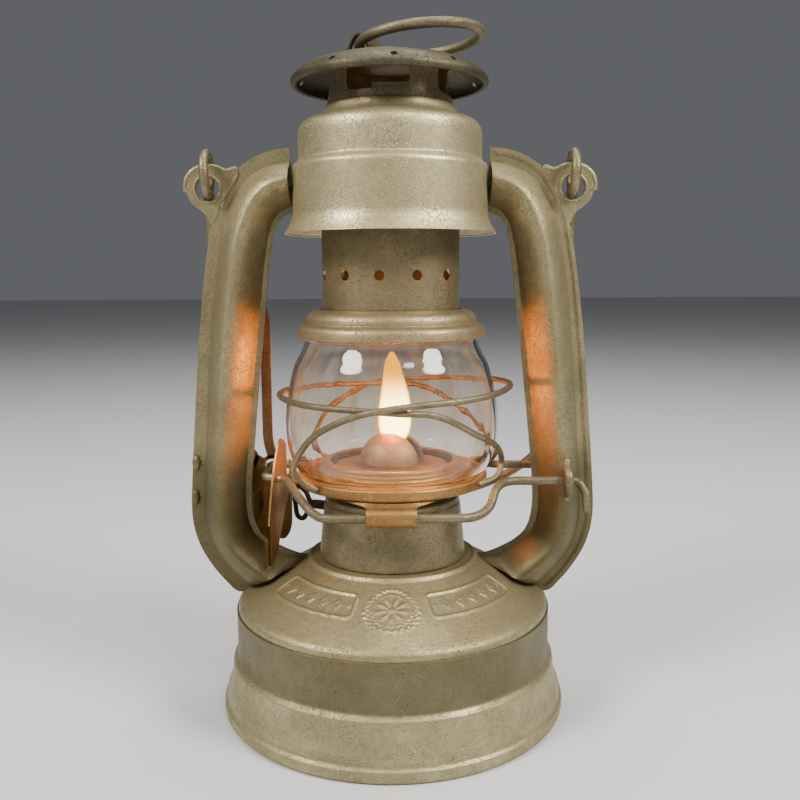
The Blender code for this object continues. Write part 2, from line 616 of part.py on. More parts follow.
def make_lever():
    """The bent bracket behind the left tube, with its guide leaf, and the lift lever on its pivot."""
    pivot_x, pivot_z = LEVER_PIVOT
    back = LEVER_Y + 0.0008 + GAP + BRACKET_WALL
    stations = [(pivot_x - 0.0042, back, 0.0660, pivot_z + 0.0046), (-0.0535, back, 0.0600, pivot_z + 0.0046),
                (-0.0505, back, 0.0585, 0.0830), (LEAF_X - 0.0012, back, 0.0575, 0.0830),
                (LEAF_X, back - 0.0012, 0.0600, 0.0830), (LEAF_X, 0.0090, 0.0625, 0.0850),
                (LEAF_X, 0.0030, 0.0625, 0.0965), (LEAF_X, -0.0010, 0.0625, 0.1000),
                (LEAF_X, -0.0050, 0.0575, 0.0990), (LEAF_X, -0.0100, 0.0640, 0.0950),
                (LEAF_X, -0.0130, 0.0760, 0.0905)]
    bm = bmesh.new()
    rows = []
    for x, y, low, high in stations:
        rows.append([bm.verts.new((x, y, low + (high - low) * part / 3)) for part in range(4)])
    for row, next_row in zip(rows, rows[1:]):
        for index in range(3):
            bm.faces.new((row[index], next_row[index], next_row[index + 1], row[index + 1]))
    bracket = add_object("lever_bracket", mesh_from(bm, "lever_bracket"), tin())
    shell = bracket.modifiers.new("wall", "SOLIDIFY")
    shell.thickness = BRACKET_WALL
    shell.offset = 0.0
    shell.use_even_offset = True
    lift = 0.0095
    slot_half = HEAVY_WIRE + 0.0010
    slot = rounded([(-slot_half, -slot_half), (slot_half, -slot_half),
                    (slot_half, slot_half + lift), (-slot_half, slot_half + lift)], slot_half * 0.95, 3)
    cut(bracket, plate("frame_slot", slot, 0.006, None, facing_x(LEAF_X, -0.0077, FRAME_HEIGHT - 0.0002)))
    cut(bracket, round_cutter("pivot_hole", 0.0015 + GAP, 0.02,
                              facing_y(pivot_x, back, pivot_z)))
    web = [(-0.0541, 0.0013), (-0.0522, 0.0013), (-0.0510, 0.0025), (-0.0510, back - BRACKET_WALL - GAP)]
    bm = bmesh.new()
    rows = [[bm.verts.new((x, y, z)) for z in (0.0700, 0.0790)] for x, y in web]
    for row, next_row in zip(rows, rows[1:]):
        bm.faces.new((row[0], next_row[0], next_row[1], row[1]))
    strip = add_object("bracket_web", mesh_from(bm, "bracket_web"), tin())
    shell = strip.modifiers.new("wall", "SOLIDIFY")
    shell.thickness = BRACKET_WALL
    shell.offset = 0.0
    shell.use_even_offset = True

    wide = 0.0026
    arm_x, arm_z = FRAME_LEFT_X, FRAME_HEIGHT
    outline = rounded([(pivot_x - 0.0040, pivot_z + 0.0046), (pivot_x - 0.0040, pivot_z - 0.0046),
                       (arm_x - 0.0030, arm_z - 0.0064), (arm_x + 0.0042, arm_z - 0.0052),
                       (arm_x + 0.0042, arm_z + 0.0052), (arm_x + 0.0008, arm_z + 0.0110),
                       (arm_x + 0.0008, LEVER_TOP), (arm_x + 0.0008 - 2 * wide, LEVER_TOP),
                       (arm_x + 0.0008 - 2 * wide, arm_z + 0.0110)], 0.0022, 2)
    plate("lift_lever", outline, 0.0008, tin(), facing_y(0, LEVER_Y, 0),
          holes=[(pivot_x, pivot_z, 0.0015 + GAP), (arm_x, arm_z, HEAVY_WIRE + 0.0014)])
    pin("lever_pin", 0.0015, 0.0046, facing_y(pivot_x, (LEVER_Y + back) / 2, pivot_z), wire_steel(),
        head=0.0026)


# ------------------------------------------------------------- the side tubes
FOOT_INNER_X = DRUM_RADIUS + 0.00365    # the tubes' feet stay clear of the air drum
FOOT_OUTER_X = FOOT_INNER_X + 0.0062
KNEE_INNER_X = 0.0521                   # inner edge where the tube turns in towards the tank


def foot_x(share):
    """Inner edge of a tube from its foot (0) to its knee (1)."""
    return FOOT_INNER_X + share * (KNEE_INNER_X - FOOT_INNER_X)


TUBE_STATIONS = [   # outer edge X, Z and inner edge X, Z of the seam flange, hood end first
    (0.0356, 0.2048, 0.0352, 0.1822), (0.0430, 0.2036, 0.0388, 0.1804), (0.0500, 0.2006, 0.0413, 0.1770),
    (0.0560, 0.1955, 0.0428, 0.1715), (0.0622, 0.1850, 0.0441, 0.1620), (0.0658, 0.1700, 0.0455, 0.1490),
    (0.0694, 0.1440, 0.0480, 0.1270), (0.0722, 0.1140, 0.0505, 0.1030), (0.0745, 0.0850, 0.0524, 0.0820),
    (0.0750, 0.0710, KNEE_INNER_X, 0.0715), (0.0730, 0.0610, foot_x(0.90), 0.0655),
    (0.0690, 0.0530, foot_x(0.735), 0.0622), (0.0635, 0.0462, foot_x(0.52), 0.0606),
    (0.0578, 0.0420, foot_x(0.355), 0.0597),
    (0.0475, tank_top_height(0.0475) + 0.00194, foot_x(0.166), 0.0589),
    (FOOT_OUTER_X, tank_top_height(FOOT_OUTER_X) + 0.0023, FOOT_INNER_X, 0.0586)]
RIVET_HEIGHTS = (0.0910, 0.0780)
RIVET_RADIUS = 0.0008


def tube_section(outer, inner, side):
    """Across one half: seam flange, pressed bulge, seam flange. side is -1 for the front half."""
    outer, inner = Vector((outer[0], 0, outer[1])), Vector((inner[0], 0, inner[1]))
    across = inner - outer
    width = across.length
    edge = min(TUBE_EDGE, width * 0.2)
    across.normalize()
    depth = min(TUBE_DEPTH, (width - 2 * edge) * 0.62)
    seam = Vector((0, side * GAP / 2, 0))
    points = [outer + seam, outer + across * edge + seam]
    for step in range(1, 6):
        turn = math.pi * step / 6
        along = edge + (width - 2 * edge) * (0.5 - 0.5 * math.cos(turn))
        points.append(outer + across * along + Vector((0, side * (GAP / 2 + depth * math.sin(turn) ** 0.8), 0)))
    points += [outer + across * (width - edge) + seam, inner + seam]
    return points


def make_tube_half(name, right, side):
    """One pressed half of a side tube, with its share of the carrying ear."""
    bm = bmesh.new()
    rows = []
    for outer_x, outer_z, inner_x, inner_z in TUBE_STATIONS:
        section = tube_section((outer_x, outer_z), (inner_x, inner_z), side)
        rows.append([bm.verts.new((right * point.x, point.y, point.z)) for point in section])
    for row, next_row in zip(rows, rows[1:]):
        for index in range(len(row) - 1):
            corners = (row[index], row[index + 1], next_row[index + 1], next_row[index])
            bm.faces.new(corners if right * side < 0 else corners[::-1])
    half = add_object(name, mesh_from(bm, name), tin())
    shell = half.modifiers.new("wall", "SOLIDIFY")
    shell.thickness = SHEET
    shell.offset = 1.0

    ear = [(EAR_X + EAR_RADIUS * math.cos(math.radians(turn)), EAR_Z + EAR_RADIUS * math.sin(math.radians(turn)))
           for turn in range(-75, 151, 25)]
    ear += [(0.0560, 0.1962), (0.0590, 0.1880), (0.0635, 0.1780)]
    ear = [(right * x, z) for x, z in ear]
    middle = side * (GAP / 2 + SHEET / 2)
    lug = plate(name + "_ear", ear, SHEET, None, facing_y(0, middle, 0))
    cut(half, lug, "UNION")
    cut(half, round_cutter(name + "_hole", EAR_HOLE_RADIUS, 0.01, facing_y(right * EAR_X, 0, EAR_Z), 16))
    if right < 0:
        for height in RIVET_HEIGHTS:
            cut(half, round_cutter(name + "_rivet_hole", RIVET_RADIUS + GAP, 0.01,
                                   facing_y(-rivet_x(height), 0, height)))


def rivet_x(height):
    """Middle of the outer seam flange at a height."""
    for above, below in zip(TUBE_STATIONS, TUBE_STATIONS[1:]):
        if above[1] >= height >= below[1]:
            part = (above[1] - height) / (above[1] - below[1])
            return above[0] + (below[0] - above[0]) * part - TUBE_EDGE * 0.42


def make_tubes():
    for height, word in zip(RIVET_HEIGHTS, ("upper", "lower")):
        pin("seam_rivet_" + word, RIVET_RADIUS, 2 * SHEET + GAP + 2 * (GAP + 0.0008),
            facing_y(-rivet_x(height), 0.0, height), tin(), head=0.0012)
    for right, word in ((-1, "left"), (1, "right")):
        for side, face in ((-1, "front"), (1, "back")):
            make_tube_half(word + "_tube_" + face, right, side)


# ----------------------------------------------------------- hood and chimney
DUCT_Z = 0.1912
DUCT_HALF_WIDTH = 0.0070            # air inlets in the hood's side, inside the tubes' ends
DUCT_HALF_HEIGHT = 0.0055


def make_hood():
    step = 0.1990
    opening = NECK_RADIUS + 3 * GAP
    hood = turned_sheet("hood", [
        (opening, HOOD_TOP), (opening + 0.0010, HOOD_SHOULDER + 0.0022),
        (opening + 0.0036, HOOD_SHOULDER + 0.0004), (HOOD_UPPER_RADIUS - 0.0036, HOOD_SHOULDER - 0.0003),
        (HOOD_UPPER_RADIUS - 0.0010, HOOD_SHOULDER - 0.0018), (HOOD_UPPER_RADIUS, HOOD_SHOULDER - 0.0042),
        (HOOD_UPPER_RADIUS, step), (HOOD_RADIUS, step - 0.0016), (HOOD_RADIUS, HOOD_BASE + 0.0080),
        (HOOD_RADIUS + 0.0010, HOOD_BASE + 0.0036), (SKIRT_RADIUS, HOOD_BASE)], tin())
    duct = rounded([(-DUCT_HALF_WIDTH, -DUCT_HALF_HEIGHT), (DUCT_HALF_WIDTH, -DUCT_HALF_HEIGHT),
                    (DUCT_HALF_WIDTH, DUCT_HALF_HEIGHT), (-DUCT_HALF_WIDTH, DUCT_HALF_HEIGHT)], 0.0030, 2)
    for side, name in ((-1, "left_duct"), (1, "right_duct")):
        cut(hood, plate(name, duct, 0.008, None, facing_x(side * HOOD_RADIUS, 0, DUCT_Z)))


def make_chimney():
    lip = FLANGE_BASE
    turned_sheet("chimney_bell", [
        (CHIMNEY_RADIUS + GAP + SHEET, lip + 0.0098), (FLANGE_RADIUS - 0.0035, lip + 0.0072),
        (FLANGE_RADIUS - 0.0030, lip + 0.0050), (FLANGE_RADIUS - 0.0008, lip + 0.0038),
        (FLANGE_RADIUS, lip)], tin())
    shoulder = SPRING_FOOT - 0.0020
    tube = turned_sheet("chimney_tube", [
        (NECK_RADIUS, HOOD_TOP - 0.0016), (NECK_RADIUS, shoulder), (CHIMNEY_RADIUS, shoulder - 0.0030),
        (CHIMNEY_RADIUS, lip + 0.0060)], tin())
    cut(tube, ring_of_cutters("draught_holes", 12, math.radians(-8.5), CHIMNEY_RADIUS, CHIMNEY_HOLE_HEIGHT,
                              CHIMNEY_HOLE_RADIUS, 0.006))

    base = HOOD_TOP - 0.0016 + GAP
    crown = turned_sheet("chimney_neck", [
        (NECK_RADIUS, CAP_BASE + 0.0085), (NECK_RADIUS - 0.0004, CAP_BASE + 0.0020),
        (NECK_RADIUS, base + 0.0034), (NECK_RADIUS, base)], tin())
    window_low, window_high = base + 0.0042, CAP_BASE + 0.0065
    half = NECK_RADIUS * math.sin(math.radians(29.0))
    shape = rounded([(-half, window_low), (half, window_low), (half, window_high), (-half, window_high)],
                    0.0022, 2)
    for index, turn in enumerate((-11.5, 78.5)):
        place = Matrix.Rotation(math.radians(turn), 4, "Z") @ facing_y(0, 0, 0)
        cut(crown, plate("window_" + str(index), shape, 0.08, None, place))

    cap = turned_sheet("rain_cap", [
        (0.0, CAP_CROWN), (0.0080, CAP_CROWN - 0.0002), (0.0180, CAP_CROWN - 0.0016),
        (0.0270, CAP_CROWN - 0.0044), (CAP_RADIUS - 0.0022, CAP_BASE + 0.0048),
        (CAP_RADIUS, CAP_BASE + 0.0030), (CAP_RADIUS, CAP_BASE + 0.0010),
        (CAP_RADIUS - 0.0014, CAP_BASE)], tin())
    cut(cap, ring_of_cutters("cap_holes", 10, math.radians(3.0), CAP_RADIUS - 0.0016, CAP_BASE + 0.0036,
                             0.0010, 0.004, 8))

    hinge_x, hinge_z = RING_HINGE
    reach = BAIL_WIRE + GAP * 3
    low = CAP_CROWN + GAP
    mid = SHEET / 2
    strip = [(-0.0170, low - 0.0010), (hinge_x - reach - 0.0012, low + 0.0004),
             (hinge_x - reach * 0.85, hinge_z + reach * 0.6), (hinge_x, hinge_z + reach + mid),
             (hinge_x + reach * 0.85, hinge_z + reach * 0.6), (hinge_x + reach + 0.0012, low + mid),
             (0.0100, low + mid)]
    bm = bmesh.new()
    rows = [[bm.verts.new((x, y, z)) for y in (-0.0035, 0.0035)] for x, z in strip]
    for row, next_row in zip(rows, rows[1:]):
        bm.faces.new((row[0], next_row[0], next_row[1], row[1]))
    strap = add_object("ring_strap", mesh_from(bm, "ring_strap"), tin())
    shell = strap.modifiers.new("wall", "SOLIDIFY")
    shell.thickness = SHEET
    shell.offset = 0.0


def make_cap_ring():
    hinge_x, hinge_z = RING_HINGE
    tilt = math.radians(5.0)
    points = []
    for index in range(28):
        turn = index * math.tau / 28
        reach = RING_RADIUS * (1 + math.cos(turn))
        points.append((hinge_x + reach * math.cos(tilt), RING_RADIUS * math.sin(turn),
                       hinge_z + reach * math.sin(tilt)))
    wire("cap_ring", points, BAIL_WIRE, wire_steel(), closed=True)


def make_spring():
    """The coil that presses the chimney down on the globe."""
    radius, turns, per_turn = 0.0265, 4, 12
    low, high = SPRING_FOOT, HOOD_SHOULDER - 0.0021
    points = []
    for index in range(turns * per_turn + 1):
        turn = index * math.tau / per_turn
        points.append((radius * math.cos(turn), radius * math.sin(turn),
                       low + (high - low) * index / (turns * per_turn)))
    wire("chimney_spring", points, 0.0006, wire_steel(), sides=1)
    turned_solid("spring_seat", [
        (0.0288, low - 0.0010), (0.0288, low - 0.0016), (NECK_RADIUS + GAP, low - 0.0016),
        (NECK_RADIUS + GAP, low - 0.0010)], tin())


# ------------------------------------------------------------------- the bail
def make_bail():
    """The carrying bail: an eye through each ear, straight legs and an arch, leaning at the back."""
    eye = BAIL_EYE_RADIUS
    half = EAR_X + EYE_SPREAD / 2       # the legs, just outside the ears' middles
    eye_steps, arch_steps = 10, 20
    points = []
    for index in range(eye_steps + 1):
        turn = math.radians(-170 + 32 * index)
        across = EYE_SPREAD * (1 - index / eye_steps)
        points.append((-half + across, eye * math.sin(turn), eye * math.cos(turn)))
    legs = [(-half, 0.0006, -eye - 0.0026), (-half, 0.0, -eye - 0.0060), (-half, 0.0, -BAIL_LEG / 2),
            (-half, 0.0, -BAIL_LEG)]
    arch = []
    for index in range(1, arch_steps):
        turn = math.pi * index / arch_steps
        arch.append((-half * math.cos(turn), 0.0, -BAIL_LEG - BAIL_ARCH * math.sin(turn)))
    left = points + legs
    right = [(-x, y, z) for x, y, z in reversed(left)]
    lean = Matrix.Translation((0, 0, BAIL_EYE_Z)) @ Matrix.Rotation(BAIL_LEAN, 4, "X")
    path = [lean @ Vector(point) for point in left + arch + right]
    wire("bail", path, BAIL_WIRE, wire_steel())


# ----------------------------------------------------------------- the joints
def make_joint_axes():
    """An empty on each joint's axis, with the pieces that move about it as its children."""
    lever_x, lever_z = LEVER_PIVOT
    ring_x, ring_z = RING_HINGE
    spindle = along_slot(SPINDLE_HEIGHT) @ Vector((0, SPINDLE_OFFSET, 0))
    axes = {
        "lift_lever_axis": ((lever_x, LEVER_Y, lever_z), ("lift_lever",)),
        "lift_frame_axis": ((FRAME_HINGE_X, 0, FRAME_HEIGHT), ("lift_frame",)),
        "gallery_axis": ((0, 0, PLATE_HEIGHT), ("globe_plate", "front_hanger", "rear_hanger",
                                                "guard_wire_a", "guard_wire_b", "globe")),
        "chimney_axis": ((0, 0, FLANGE_BASE), ("chimney_bell", "chimney_tube", "chimney_neck",
                                               "rain_cap", "ring_strap", "spring_seat")),
        "cap_ring_axis": ((ring_x, 0, ring_z), ("cap_ring",)),
        "bail_axis": ((0, 0, BAIL_EYE_Z), ("bail",)),
        "wick_raiser_axis": (tuple(spindle), ("wick_spindle", "wick_sprocket_a", "wick_sprocket_b")),
        "wick_axis": ((0, 0, SPINDLE_HEIGHT), ("wick",)),
        "filler_cap_axis": (tuple(filler_place(0.0).translation), ("filler_cap", "filler_gasket")),
    }
    for name, (place, pieces) in axes.items():
        axis = bpy.data.objects.new(name, None)
        MODEL.objects.link(axis)
        axis.matrix_world = Matrix.Translation(place)
        for piece in pieces:
            item = bpy.data.objects[piece]
            item.parent = axis
            item.matrix_parent_inverse = Matrix.Translation(place).inverted()


def main():
    clear_scene()
    make_tank()
    make_filler()
    make_burner()
    make_spindle()
    make_gallery()
    make_guard()
    make_globe()
    make_lift_frame()
    make_staples()
    make_lever()
    make_tubes()
    make_hood()
    make_chimney()
    make_cap_ring()
    make_spring()
    make_bail()
    make_joint_axes()


main()
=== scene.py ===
import bmesh
import bpy
import numpy as np
from mathutils import Matrix, Vector


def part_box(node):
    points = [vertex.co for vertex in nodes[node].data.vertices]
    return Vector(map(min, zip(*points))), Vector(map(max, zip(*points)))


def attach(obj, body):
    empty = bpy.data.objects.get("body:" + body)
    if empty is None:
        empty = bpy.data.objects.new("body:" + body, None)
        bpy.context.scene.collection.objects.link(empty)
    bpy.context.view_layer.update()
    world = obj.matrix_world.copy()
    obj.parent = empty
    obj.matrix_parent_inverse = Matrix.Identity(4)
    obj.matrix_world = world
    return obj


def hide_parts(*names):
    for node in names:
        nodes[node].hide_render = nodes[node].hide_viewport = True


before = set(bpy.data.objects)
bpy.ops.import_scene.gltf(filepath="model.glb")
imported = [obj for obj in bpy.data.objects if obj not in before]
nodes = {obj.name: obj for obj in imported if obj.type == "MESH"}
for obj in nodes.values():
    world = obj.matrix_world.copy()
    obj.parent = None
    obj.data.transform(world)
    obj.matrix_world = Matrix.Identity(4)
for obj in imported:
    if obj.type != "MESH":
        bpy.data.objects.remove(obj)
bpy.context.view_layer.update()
print("lantern: frame loaded,", len(nodes), "plain nodes")

mm = 0.001
turnSteps = 192          # facets round a turned piece
noseRings = 4            # rings that close a wire's end
creaseAngle = 38         # degrees between faces from which an edge is sharp


# ---- surfaces ----

def gridQuads(rows, cols, wrapRows, wrapCols):
    # corner numbers of each cell of a rows x cols grid, joined round where it wraps
    i = np.arange(rows if wrapRows else rows - 1)[:, None]
    j = np.arange(cols if wrapCols else cols - 1)[None, :]
    a, b = (i + 1) % rows, (j + 1) % cols
    return np.stack([i * cols + j, i * cols + b, a * cols + b, a * cols + j], axis=-1).reshape(-1, 4)


def piece(name, grids, finish, body, stands=(), crease=creaseAngle):
    # one object from one or more (points, quads) grids: doubles merged, faces turned outwards
    points = np.concatenate([grid.reshape(-1, 3) for grid, _ in grids])
    starts = np.cumsum([0] + [grid.reshape(-1, 3).shape[0] for grid, _ in grids])
    quads = np.concatenate([faces + start for (_, faces), start in zip(grids, starts)])
    mesh = bpy.data.meshes.new(name)
    mesh.vertices.add(len(points))
    mesh.vertices.foreach_set("co", points.astype(np.float32).ravel())
    mesh.loops.add(quads.size)
    mesh.loops.foreach_set("vertex_index", quads.astype(np.int32).ravel())
    mesh.polygons.add(len(quads))
    mesh.polygons.foreach_set("loop_start", np.arange(0, quads.size, 4, dtype=np.int32))
    mesh.update(calc_edges=True)
    work = bmesh.new()
    work.from_mesh(mesh)
    bmesh.ops.remove_doubles(work, verts=work.verts, dist=1e-6)
    bmesh.ops.recalc_face_normals(work, faces=work.faces)
    work.to_mesh(mesh)
    work.free()
    mesh.shade_smooth()
    mesh.set_sharp_from_angle(angle=np.radians(crease))
    made = bpy.data.objects.new(name, mesh)
    bpy.context.scene.collection.objects.link(made)
    mesh.materials.append(finish)
    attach(made, body)
    if stands:
        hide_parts(*stands)
    return made


def through(knots, perSpan=8, closed=False):
    # a smooth line through its knots: each span is the Catmull-Rom cubic of its four nearest
    knots = np.asarray(knots, float)
    if closed:
        padded = np.concatenate([knots[-1:], knots, knots[:2]])
    else:
        padded = np.concatenate([2 * knots[:1] - knots[1:2], knots, 2 * knots[-1:] - knots[-2:-1]])
    t = (np.arange(perSpan) / perSpan)[None, :, None]
    p0, p1, p2, p3 = (padded[k:len(padded) - 3 + k, None] for k in range(4))
    line = 0.5 * (2 * p1 + (p2 - p0) * t + (2 * p0 - 5 * p1 + 4 * p2 - p3) * t ** 2
                  + (3 * p1 - p0 - 3 * p2 + p3) * t ** 3)
    line = line.reshape(-1, knots.shape[1])
    return line if closed else np.concatenate([line, knots[-1:]])


def unit(v):
    return v / np.maximum(np.linalg.norm(v, axis=-1, keepdims=True), 1e-12)


def slope(line, closed=False):
    # direction of travel at each point, from its two neighbours
    if closed:
        return unit(np.roll(line, -1, axis=0) - np.roll(line, 1, axis=0))
    return unit(np.gradient(line, axis=0))


def sheetSection(line, wall):
    # closed section of a bent sheet: the line, then the same line one wall to its right, backwards
    run = slope(line)
    side = np.stack([run[:, 1], -run[:, 0]], axis=1)
    return np.concatenate([line, (line + side * wall)[::-1]])


def turned(section, steps=turnSteps, shape=None, closed=True):
    # a section of (radius, height) carried round Z; shape(angle, radius, height) may move it.
    # the angle runs from the front, growing towards +X
    angle = np.arange(steps) / steps * 2 * np.pi
    radius, height = section[None, :, 0], section[None, :, 1]
    a = angle[:, None] + 0 * radius
    r, z = radius + 0 * a, height + 0 * a
    if shape:
        r, z = shape(a, r, z)
    grid = np.stack([r * np.sin(a), -r * np.cos(a), z], axis=-1)
    return grid, gridQuads(steps, len(section), True, closed)


def wire(line, radius, closed=False, sides=14):
    # a round section carried along a line; open ends close in a rounded nose of three rings
    run = slope(line, closed)
    trial = unit(np.array([[1, 0, 0], [0, 1, 0], [0, 0, 1], [1, 1, 0], [1, -1, 0], [1, 0, 1], [-1, 0, 1],
                           [0, 1, 1], [0, -1, 1], [1, 2, 3], [3, 1, -2.0]]))
    up = trial[np.argmin(np.abs(run @ trial.T).max(axis=0))]   # the one that the line never follows
    across = unit(np.cross(run, up))
    over = np.cross(across, run)
    size = np.full(len(line), radius)
    if not closed:
        bulge = np.array([0.0, 0.6, 0.9])
        nose = radius * np.sqrt(1 - bulge ** 2)[::-1]
        reach = radius * bulge[::-1, None]
        line = np.concatenate([line[:1] - run[:1] * reach, line, line[-1:] + run[-1:] * reach[::-1]])
        line = np.concatenate([line[:1] - run[:1] * radius * 0.1, line, line[-1:] + run[-1:] * radius * 0.1])
        size = np.concatenate([[0], nose, size, nose[::-1], [0]])
        across, over = (np.concatenate([way[:1]] * noseRings + [way] + [way[-1:]] * noseRings)
                        for way in (across, over))
    turn = np.arange(sides) / sides * 2 * np.pi
    ring = np.cos(turn)[None, :, None] * across[:, None] + np.sin(turn)[None, :, None] * over[:, None]
    return line[:, None] + ring * size[:, None, None], gridQuads(len(line), sides, closed, True)


def slab(outer, inner, low, high, edge):
    # a flat ring between two outlines of equal count in XZ, low to high in Y, with eased edges
    def level(ring, y):
        return np.stack([ring[:, 0], np.full(len(ring), y), ring[:, 1]], axis=1)
    middle = outer.mean(axis=0)
    eased = outer + unit(middle - outer) * edge
    rows = [level(inner, low), level(eased, low), level(outer, low + edge), level(outer, high - edge),
            level(eased, high), level(inner, high)]
    return np.stack(rows), gridQuads(len(rows), len(outer), True, True)


def holes(made, name, spots, radius, length, sides=20):
    # round cutters at (place, direction) spots, joined in one mesh and cut out exactly
    work = bmesh.new()
    for place, towards in spots:
        turn = Matrix.Translation(place) @ facing(towards)
        bmesh.ops.create_cone(work, cap_ends=True, segments=sides, radius1=radius, radius2=radius,
                              depth=length, matrix=turn)
    mesh = bpy.data.meshes.new(name)
    work.to_mesh(mesh)
    work.free()
    carve(made, bpy.data.objects.new(name, mesh))


def facing(towards):
    # a turn that points Z along a direction
    return Vector(towards).to_track_quat("Z", "Y").to_matrix().to_4x4()


def carve(made, cutter, flip=False, folded=False):
    # takes the cutter's solid out of the piece for good, then drops the cutter; flip turns the
    # cutter half round Z first, and folded is for a sheet that touches itself
    bpy.context.scene.collection.objects.link(cutter)
    if flip:
        cutter.data.transform(Matrix.Rotation(np.pi, 4, "Z"))
    change = made.modifiers.new("carve", "BOOLEAN")
    change.object, change.solver, change.use_self = cutter, "EXACT", folded
    bpy.context.view_layer.update()
    graph = bpy.context.evaluated_depsgraph_get()
    mesh = bpy.data.meshes.new_from_object(made.evaluated_get(graph))
    made.modifiers.clear()
    made.data = mesh
    mesh.shade_smooth()
    mesh.set_sharp_from_angle(angle=np.radians(creaseAngle))
    bpy.data.objects.remove(cutter)


def prism(name, outline, turn, depth):
    # a straight cutter: an outline of (across, height), pushed depth both ways through the axis
    angle = np.radians(turn)
    out = np.array([np.sin(angle), -np.cos(angle), 0])
    side = np.array([np.cos(angle), np.sin(angle), 0])
    outline = np.asarray(outline)
    flat = outline[:, :1] * side + outline[:, 1:] * np.array([0, 0, 1.0])
    work = bmesh.new()
    ends = [[work.verts.new(p + out * d) for p in flat] for d in (depth[0], depth[1])]
    count = len(outline)
    for k in range(count):
        work.faces.new((ends[0][k], ends[0][(k + 1) % count], ends[1][(k + 1) % count], ends[1][k]))
    work.faces.new(ends[0][::-1])
    work.faces.new(ends[1])
    bmesh.ops.recalc_face_normals(work, faces=work.faces)
    mesh = bpy.data.meshes.new(name)
    work.to_mesh(mesh)
    work.free()
    return bpy.data.objects.new(name, mesh)


# ---- finishes ----

class Val:
    # a socket in a node tree; sums, products and powers on it add Math nodes
    def __init__(self, sheet, socket):
        self.sheet, self.socket = sheet, socket

    def math(self, kind, first, second=0.0):
        return self.sheet.node("ShaderNodeMath", {"operation": kind}, {0: first, 1: second})

    def __add__(self, other): return self.math("ADD", self, other)
    def __radd__(self, other): return self.math("ADD", other, self)
    def __sub__(self, other): return self.math("SUBTRACT", self, other)
    def __rsub__(self, other): return self.math("SUBTRACT", other, self)
    def __mul__(self, other): return self.math("MULTIPLY", self, other)
    def __rmul__(self, other): return self.math("MULTIPLY", other, self)
    def __truediv__(self, other): return self.math("DIVIDE", self, other)
    def __pow__(self, other): return self.math("POWER", self, other)
    def least(self, other): return self.math("MINIMUM", self, other)
    def most(self, other): return self.math("MAXIMUM", self, other)


class Sheet:
    # a material's node tree with one method for any node
    def __init__(self, name):
        self.material = bpy.data.materials.new(name)
        self.material.use_nodes = True
        self.tree = self.material.node_tree
        self.shader = self.tree.nodes["Principled BSDF"]
        self.place = self.node("ShaderNodeTexCoord", {}, {}, "Object")

    def node(self, kind, settings, inputs, output=0):
        made = self.tree.nodes.new(kind)
        for key, value in settings.items():
            if key == "stops":
                ramp = made.color_ramp
                while len(ramp.elements) < len(value):
                    ramp.elements.new(0.5)
                for stop, (spot, shade) in zip(ramp.elements, value):
                    stop.position = spot
                    stop.color = (*shade, 1.0) if isinstance(shade, tuple) else (shade, shade, shade, 1.0)
            else:
                setattr(made, key, value)
        for key, value in inputs.items():
            self.feed(made.inputs[key], value)
        return Val(self, made.outputs[output])

    def feed(self, socket, value):
        if isinstance(value, Val):
            self.tree.links.new(value.socket, socket)
        else:
            socket.default_value = value

    def noise(self, scale, detail=3.0, rough=0.6, stretch=None):
        place = self.place
        if stretch:
            place = self.node("ShaderNodeMapping", {}, {"Vector": place, "Scale": stretch})
        return self.node("ShaderNodeTexNoise", {}, {"Vector": place, "Scale": scale, "Detail": detail,
                                                    "Roughness": rough})

    def cells(self, scale):
        return self.node("ShaderNodeTexVoronoi", {}, {"Vector": self.place, "Scale": scale})

    def ramp(self, value, stops):
        return self.node("ShaderNodeValToRGB", {"stops": stops}, {0: value})

    def span(self, value, low, high):
        # 0 at low to 1 at high, held outside
        return self.node("ShaderNodeMapRange", {"interpolation_type": "SMOOTHSTEP"},
                         {"Value": value, "From Min": low, "From Max": high})

    def height(self):
        return self.node("ShaderNodeSeparateXYZ", {}, {0: self.place}, 2)

    def mix(self, share, a, b, kind="MIX"):
        return self.node("ShaderNodeMix", {"data_type": "RGBA", "blend_type": kind},
                         {0: share, 6: a, 7: b}, 2)

    def bump(self, height, distance, strength=1.0):
        return self.node("ShaderNodeBump", {}, {"Height": height, "Distance": distance,
                                                "Strength": strength})

    def set(self, **values):
        for key, value in values.items():
            self.feed(self.shader.inputs[key.replace("_", " ")], value)
        return self.material


def shade(r, g, b):
    return (r, g, b, 1.0)


